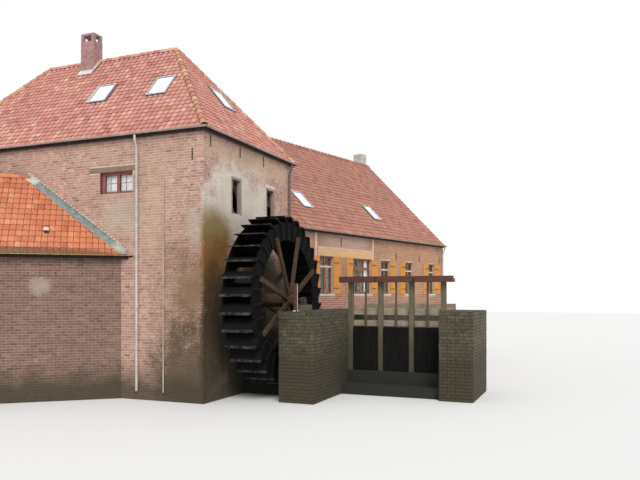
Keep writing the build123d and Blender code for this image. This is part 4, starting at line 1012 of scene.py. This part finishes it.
def layBlock(name, low, high, along, size, seed, material, sides):
    # Courses on the upright faces of a block: front, right, back and left
    inward = up.cross(along)
    corner = Vector((low.x, low.y, 0))
    length, depth = (high - low).dot(along), (high - low).dot(inward)
    right, far = corner + along * length, corner + inward * depth
    faces = {"f": (corner, along, length), "r": (right, inward, depth),
             "b": (right + inward * depth, -along, length), "l": (far, -inward, depth)}
    lap = size["proud"] * laying["lap"]
    pieces = []
    for index, side in enumerate(sides):
        start, direction, run = faces[side]
        rows = courses(-lap, run + lap, low.z, high.z, [], size, seed + index)
        pieces.append(putAt(layPieces(name + side, brickMaster, rows), wallMatrix(start, direction)))
    finishPiece(joinPieces(pieces), name, "mill", material)


chimneyMiddle = Vector((chimneyX, mill["run"] - 0.15, 0))
chimneyHalf = Vector((0.335, 0.26, 0))
layBlock("millChimneyBricks", chimneyMiddle - chimneyHalf + up * (mill["ridge"] - 0.75),
         chimneyMiddle + chimneyHalf + up * 14.17, X, brick, 71, "chimneyBrick", "frbl")
setIn = 0.017
layBlock("pierStones", Vector((2.15, 1.3, 0)), Vector((3.4, 6.6, 3.05)), X, stone, 75, "pierStone", "frl")
layBlock("abutmentStones", Vector((7.09, 3.6, 0)), Vector((8.24 - setIn, 6.6, 3.05)), X, stone, 79, "pierStone",
         "frbl")
dropMaster(brickMaster)
dropMaster(tileMaster)
print("stones laid")


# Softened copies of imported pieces, for timber, iron and stone that keeps its shape

def soften(packed, name, material, width, body):
    piece = copyNode(packed, name)
    bevel(piece, width, 35)
    smooth(piece, 35)
    return replaceNode(piece, name, material, packed, body)


def openBore(piece):
    # More room round the gudgeons, so that the facets of the two meshes stay apart as the wheel turns
    for vertex in piece.data.vertices:
        outwards = (vertex.co - wheel["centre"]) * Vector((0, 1, 1))
        if outwards.length < wheel["bore"]:
            vertex.co += outwards.normalized() * wheel["boreRoom"]


softened = [
    ("wheel_rims", "wheelRims", "rimWood", 0.010, "wheel"),
    ("wheel_arms", "wheelArms", "armWood", 0.008, "wheel"),
    ("wheel_buckets", "wheelBuckets", "bucketWood", 0.005, "wheel"),
    ("wheel_sole", "wheelSole", "bucketWood", 0.004, "wheel"),
    ("axle", "wheelAxle", "armWood", 0.012, "wheel"),
    ("axle_flanges", "axleFlanges", "iron", 0.006, "wheel"),
    ("bearings", "axleBearings", "iron", 0.004, "mill"),
    ("bearing_timbers", "bearingTimbers", "postTimber", 0.010, "mill"),
    ("sluice_posts", "sluicePosts", "postTimber", 0.010, "mill"),
    ("sluice_beams", "sluiceBeams", "sluiceTimber", 0.010, "mill"),
    ("deck_kerb", "deckKerb", "sluiceTimber", 0.008, "mill"),
    ("headstock", "railHeadstock", "greyTimber", 0.010, "mill"),
    ("pier_guard", "pierGuard", "boxPaint", 0.008, "mill"),
    ("lintels", "windowLintels", "paleTimber", 0.012, "mill"),
    ("window_sills", "windowSills", "paleStone", 0.012, "mill"),
    ("window_frames", "windowFrames", "frameRed", 0.006, "mill"),
    ("skylight_frames", "roofWindowFrames", "windowTrim", 0.008, "mill"),
    ("wall_anchors", "wallAnchors", "iron", 0.006, "mill"),
    ("wing_chimney", "wingChimneyStack", "whiteStone", 0.015, "mill"),
    ("flower_boxes", "flowerBoxes", "boxPaint", 0.006, "mill"),
]
for row in softened:
    soften(*row)
openBore(bpy.data.objects["axleBearings"])
for name, material, test in (
        ("windowLintels", "frontLintel", lambda face: face.center.y < 1),
        ("windowFrames", "slotFrame", lambda face: 1 < face.center.y < 6),
        ("windowFrames", "wingFrame", lambda face: face.center.y > 6),
        ("pierGuard", "whitePaint", lambda face: face.normal.x > 0.9),
        ("flowerBoxes", "earth", lambda face: face.normal.z > 0.9 and face.center.z < 4.28),
        # Upward faces of the roof window frames are painted paler: painted light on their tops
        ("roofWindowFrames", "trimTop", lambda face: face.normal.z > 0.55)):
    tintFaces(bpy.data.objects[name], material, test)
for number in (1, 2, 3):
    gate = soften(f"gate_{number}", f"gateLeaf{number}", "gateTimber", 0.006, f"gate_{number}")
    tintFaces(gate, "rodRust", lambda face: face.center.z > 2.55)
abutment, panes = [replaceNode(copyNode(packed, name), name, material, packed) for packed, name, material in (
    ("right_abutment", "abutmentCore", "wetMortar"), ("window_glass", "windowPanes", "windowGlass"))]
alter(abutment, "VERT", lambda point: point.co.x > 8.23, bpy.ops.transform.translate, value=(-setIn, 0, 0))
for piece in (bpy.data.objects["windowFrames"], panes):
    alter(piece, "VERT", lambda point: 4.4 < point.co.z < 4.6 and point.co.y > 6, bpy.ops.transform.translate,
          value=(0, 0, wingTransom - 4.5))
print("timber softened")


# Pieces made of boards: each board is its corner, its size and, where boards differ, its shade

def layBoards(name, boards, edge, matrix=None):
    rows = [(corner, size, (0, 0, 0), shade[0] if shade else 0.5) for corner, size, *shade in boards]
    piece = bevel(layPieces(name, boardMaster, rows), edge)
    return putAt(piece, matrix) if matrix else piece


# Shutters: boards, battens and strap hinges in place of each plain leaf

shutter = {"board": 0.115, "gap": 0.004, "batten": 0.09, "height": 1.7, "thick": 0.022, "battens": (0.22, 0.80, 1.38)}
leaves = ((0, -1, 0.42), (0, 1, 0.58), (1, -1, 0.52), (1, 1, 0.54), (2, 1, 0.54), (3, -1, 0.56), (4, -1, 0.58),
          (4, 1, 0.68))


def buildShutters():
    draw = random.Random(81)
    boardPieces, ironPieces = [], []
    for window, side, width in leaves:
        left, right, low, high = wingWindows[window]
        matrix = wallMatrix(wingCorner + wing["along"] * (right if side > 0 else left), wing["along"])
        count = max(3, round(width / shutter["board"]))
        step = width / count
        start = 0 if side > 0 else -width
        boards = [((start + n * step + shutter["gap"] / 2, 0.003, low),
                   (step - shutter["gap"], shutter["thick"], shutter["height"]), draw.random())
                  for n in range(count)]
        boards += [((start + 0.02, shutter["thick"], low + height), (width - 0.04, 0.013, shutter["batten"]),
                    draw.random()) for height in shutter["battens"]]
        boardPieces.append(layBoards("leaf", boards, 0.003, matrix))
        strapStart = start + (0 if side > 0 else width * 0.25)
        straps = layPieces("straps", boardMaster, [
            ((strapStart, 0.0345, low + height + 0.025), (width * 0.75, 0.004, 0.04), (0, 0, 0), 0.5)
            for height in shutter["battens"][::2]])
        ironPieces.append(putAt(straps, matrix))
    finishPiece(joinPieces(boardPieces), "shutterLeaves", "mill", "shutterStain", ("shutters",))
    finishPiece(joinPieces(ironPieces), "shutterStraps", "mill", "iron")


buildShutters()


def buildDeck():
    # Loose planks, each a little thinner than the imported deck
    low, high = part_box("sluice_deck")
    draw = random.Random(91)
    length, depth, thick = high - low
    count = round(length / 0.155)
    step = length / count
    deck = layBoards("deckPlanks", [((low.x + n * step + 0.004, low.y, low.z),
                                     (step - 0.008, depth, thick - draw.uniform(0, 0.006)), draw.random())
                                    for n in range(count)], 0.006)
    finishPiece(deck, "deckPlanks", "mill", "sluiceTimber", ("sluice_deck",))


buildDeck()


# Glazing bars, curtains and rendered surrounds

def buildBars():
    frameFace, sash, out = 0.065, 0.028, -0.138
    pieces = []
    for corner, along, windows, bars in ((millCorner, X, [frontWindow], 2),
                                         (wingCorner, wing["along"], wingWindows, 1)):
        boards = []
        for left, right, low, high in windows:
            columns = math.ceil((right - left) / 0.72)
            width = (right - left - (columns + 1) * frameFace) / columns
            middle = [wingTransom] if math.ceil((high - low) / 0.9) == 2 else []
            lights = [(a + frameFace / 2, b - frameFace / 2) for a, b in
                      zip([low + frameFace / 2] + middle, middle + [high - frameFace / 2])]
            for c in range(columns):
                x = left + frameFace + c * (width + frameFace)
                for z, top in lights:
                    height, inner = top - z, width - 2 * sash
                    boards += [((x, out, z), (sash, 0.02, height)),
                               ((x + width - sash, out, z), (sash, 0.02, height)),
                               ((x + sash, out, z), (inner, 0.02, sash)),
                               ((x + sash, out, z + height - sash), (inner, 0.02, sash))]
                    for n in range(1, bars):
                        boards += [((x + width * n / bars - 0.01, out + 0.002, z + sash),
                                    (0.02, 0.016, height - 2 * sash)),
                                   ((x + sash, out + 0.001, z + height * n / bars - 0.01), (inner, 0.014, 0.02))]
        pieces.append(layBoards("bars", boards, 0.002, wallMatrix(corner, along)))
    bars = finishPiece(joinPieces(pieces), "glazingBars", "mill", "frameRed")
    tintFaces(bars, "wingFrame", lambda face: face.center.y > 6)


buildBars()


def buildCurtain(name, corner, along, left, right, low, high, folds, swing):
    # A thin gathered cloth hanging behind the glass
    width, height = right - left, high - low
    bpy.ops.mesh.primitive_grid_add(x_subdivisions=folds * 6, y_subdivisions=6, size=1, location=(0, 0, 0))
    cloth = settle(bpy.context.object)
    turns = folds * 2 * math.pi
    for vertex in cloth.data.vertices:
        x, y = vertex.co.x + 0.5, vertex.co.y + 0.5
        depth = math.sin(x * turns) * swing * (1.1 - 0.4 * y)
        vertex.co = Vector((left + x * width, -0.225 + depth, low + y * height))
    putAt(cloth, wallMatrix(corner, along))
    useModifier(cloth, "SOLIDIFY", thickness=0.002)
    pick(cloth)
    bpy.ops.object.shade_smooth()
    finishPiece(cloth, name, "mill", "curtain")


buildCurtain("frontCurtainLeft", millCorner, X, -4.19, -3.62, 7.25, 7.88, 4, 0.007)
buildCurtain("frontCurtainRight", millCorner, X, -3.54, -2.95, 7.25, 7.88, 4, 0.007)
curtainEdge = wingWindows[1][1]
buildCurtain("wingCurtain", wingCorner, wing["along"], curtainEdge - 0.58, curtainEdge - 0.07, 3.72, 5.28, 5, 0.02)


def buildTrim():
    surrounds, proud, thick = [], 0.003, 0.012
    for left, right, low, high in slots:
        surrounds += [((left - 0.06, proud, low - 0.02), (0.06, thick, high - low + 0.10)),
                      ((right, proud, low - 0.02), (0.11, thick, high - low + 0.10)),
                      ((left, proud, high), (right - left, thick, 0.08)),
                      ((left - 0.10, proud, high + 0.084), (right - left + 0.26, thick, 0.12))]
    left, right, low, high = frontWindow
    frontBoard = [((left, -0.108, low), (0.16, 0.022, high - low))]
    transoms = [((left + 0.02, -0.109, wingTransom - 0.035), (right - left - 0.04, 0.02, 0.07))
                for left, right, low, high in wingWindows[:1] + wingWindows[2:]]
    strips = [((start, proud, 5.2), (0.15, thick, 1.18)) for start in (1.24, 5.93)]
    foot = (mill["run"] - 0.41) / math.cos(mill["angle"])
    middle = mill["length"] + chimneyX
    apron = [((middle - 0.37, foot - 0.30, 0.022), (0.74, 0.31, 0.006)),
             ((middle + 0.335, foot - 0.02, 0.022), (0.09, 0.52, 0.045))]
    vent = [((annex["length"] - 2.58, 0.72, 0.02), (0.19, 0.22, 0.09))]
    wheelWall, frontWall = wallMatrix(millCorner, Y), wallMatrix(millCorner, X)
    wingWall = wallMatrix(wingCorner, wing["along"])
    for name, boards, edge, matrix, slot, material in (
            ("slotSurrounds", surrounds, 0.004, wheelWall, "sill", "slotRender"),
            ("frontWindowBoard", frontBoard, 0.004, frontWall, "red_frame", "frameRed"),
            ("wingTransoms", transoms, 0.004, wingWall, "sill", "whitePaint"),
            ("wingStrips", strips, 0.004, wingWall, "sill", "beigeStrip"),
            ("chimneyApron", apron, 0.004, slopeMatrix(mill, millLeft, X), "zinc", "zinc"),
            ("ventTile", vent, 0.03, slopeMatrix(annex, annexFar, annex["along"]), "zinc", "zinc")):
        finishPiece(layBoards(name, boards, edge, matrix), name, "mill", material)
    tintFaces(bpy.data.objects["slotSurrounds"], "plaster", lambda face: face.center.z > 7.85)
    # The vent tile's sides get the same near-black finish, painted shade
    tintFaces(bpy.data.objects["ventTile"], "eaveBoard", lambda face: face.normal.z < 0.3)


buildTrim()


def buildCleats():
    # Wooden cleats on the rim nearest the pier and along the float ends, one pair to each bucket, with iron
    # clips and bolts. Each part: distance from the axle, length, width, depth, lean
    lean = math.radians(wheel["lean"])
    for name, material, slot, parts in (
            ("rimCleats", "bucketWood", "oak", ((2.24, 0.46, 0.13, 0.034, 0), (2.70, 0.40, 0.085, 0.034, lean))),
            ("rimStraps", "strapIron", "iron", ((2.17, 0.09, 0.05, 0.040, 0), (2.33, 0.035, 0.05, 0.046, 0),
                                                (2.60, 0.035, 0.05, 0.046, 0)))):
        places = []
        for n in range(wheel["buckets"]):
            angle = math.radians(wheel["firstBucket"]) + 2 * math.pi * n / wheel["buckets"]
            outwards = Vector((0, math.cos(angle), math.sin(angle)))
            for start, length, width, depth, turn in parts:
                across = Vector((0, -math.sin(angle + turn), math.cos(angle + turn)))
                corner = wheel["centre"] + outwards * start - across * width / 2
                places.append(((wheel["face"], corner.y, corner.z), (depth, length, width), (angle + turn, 0, 0), 0.5))
        finishPiece(bevel(layPieces(name, boardMaster, places), 0.002), name, "wheel", material)


buildCleats()
dropMaster(boardMaster)
print("windows dressed")


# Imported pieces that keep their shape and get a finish

finishes = {
    "mortar": ("mill_front_wall", "mill_wheel_wall", "mill_back_wall", "mill_end_wall", "wing_back_wall",
               "wing_gable_wall"),
    "wingMortar": ("wing_front_wall",),
    "chimneyTop": ("mill_chimney",),
    "annexMortar": ("annex_front_wall", "annex_back_wall", "annex_gable_wall"),
    "wetMortar": ("mid_pier", "wheel_breast", "weir_apron"),
    "floorBoards": ("mill_floors", "wing_floor"),
    # Skylight glass, painted near-white as a reflection of the sky
    "roofGlass": ("skylight_glass",),
    "darkZinc": ("gutters",),
    "zinc": ("downpipes",),
    "lead": ("annex_flashing",),
    "iron": ("gudgeons",),
}
for finish, nodes in finishes.items():
    for name in nodes:
        mesh = frame["nodes"][name].data
        mesh.materials.clear()
        mesh.materials.append(materials[finish])

# Gutters: pale and mossy on the block, dark on the wing, brown with a bright rim on the annex
# The faces turned downwards keep the near-black finish: painted shade under the gutters
for packed, material, test in (
        ("gutters", "mossyZinc", lambda face: face.center.z > 9 and face.normal.z > -0.8),
        ("gutters", "rimPaint", lambda face: face.center.z < 5.5 and face.normal.z > -0.3),
        ("gutters", "wingGutter", lambda face: 6 < face.center.z < 7 and face.normal.z > -0.8),
        ("downpipes", "frontPipe", lambda face: face.center.y < 0 and face.center.x < -2),
        ("downpipes", "thinPipe", lambda face: face.center.y < 0 and face.center.x > -2),
        ("downpipes", "sidePipe", lambda face: 4 < face.center.y < 7.0 and face.center.x < 0.3),
        ("mill_front_wall", "revealShade",
         lambda face: 0.001 < face.center.y < 0.6 and 7.1 < face.center.z < 8 and -4.4 < face.center.x < -2.8),
        ("mill_wheel_wall", "slotRender",
         lambda face: -0.6 < face.center.x < -0.001 and 6.5 < face.center.z < 7.8 and 1.8 < face.center.y < 5.3)):
    tintFaces(frame["nodes"][packed], material, test)


# Stage: pale floor, soft light and the photograph's view

stage = {"floorSize": 240.0, "floorDrop": 0.004, "floorColour": (0.80, 0.80, 0.79), "sky": (1.0, 1.0, 1.0),
         "skyLight": 0.66, "sunStrength": 2.2, "sunAngle": 28.0, "sunTilt": (48.0, 0.0, 33.0)}
bpy.ops.mesh.primitive_plane_add(size=stage["floorSize"], location=(0, 0, -stage["floorDrop"]))
floor = settle(bpy.context.object)
floor.name = "studioFloor"
floorMaterial = bpy.data.materials.new("studioFloor")
floorMaterial.use_nodes = True
floorShader = floorMaterial.node_tree.nodes["Principled BSDF"]
floorShader.inputs["Base Color"].default_value = (*stage["floorColour"], 1)
floorShader.inputs["Roughness"].default_value = 1.0
floor.data.materials.append(floorMaterial)

world = bpy.data.worlds.new("studio")
bpy.context.scene.world = world
world.use_nodes = True
sky = world.node_tree
back = sky.nodes["Background"]
rays = node(sky, "ShaderNodeLightPath").outputs
shown = arithmetic(sky, "MAXIMUM", arithmetic(sky, "MAXIMUM", rays["Is Camera Ray"], rays["Is Glossy Ray"]),
                   rays["Is Transmission Ray"])
sky.links.new(remap(sky, shown, 0.0, 1.0, stage["skyLight"], 1.0), back.inputs["Strength"])
back.inputs["Color"].default_value = (*stage["sky"], 1)

sunData = bpy.data.lights.new("softSun", "SUN")
sunData.energy = stage["sunStrength"]
sunData.angle = math.radians(stage["sunAngle"])
sun = bpy.data.objects.new("softSun", sunData)
sun.rotation_euler = Euler([math.radians(a) for a in stage["sunTilt"]])
bpy.context.scene.collection.objects.link(sun)

view = {"place": (11.919, -18.89, 3.65), "turn": 22.3, "lens": 37.35, "shift": 54 / 640, "far": 400}
cameraData = bpy.data.cameras.new("photoView")
cameraData.lens = view["lens"]
cameraData.sensor_fit = "HORIZONTAL"
cameraData.shift_y = view["shift"]
cameraData.clip_end = view["far"]
camera = bpy.data.objects.new("photoView", cameraData)
camera.location = view["place"]
camera.rotation_euler = Euler((math.radians(90), 0, math.radians(view["turn"])))
bpy.context.scene.collection.objects.link(camera)
bpy.context.scene.camera = camera
bpy.context.scene.view_settings.view_transform = "Standard"

added = sum(len(o.data.loop_triangles) or sum(len(p.vertices) - 2 for p in o.data.polygons)
            for o in bpy.context.scene.objects if o.type == "MESH" and "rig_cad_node" not in o)
print("triangles added", added)
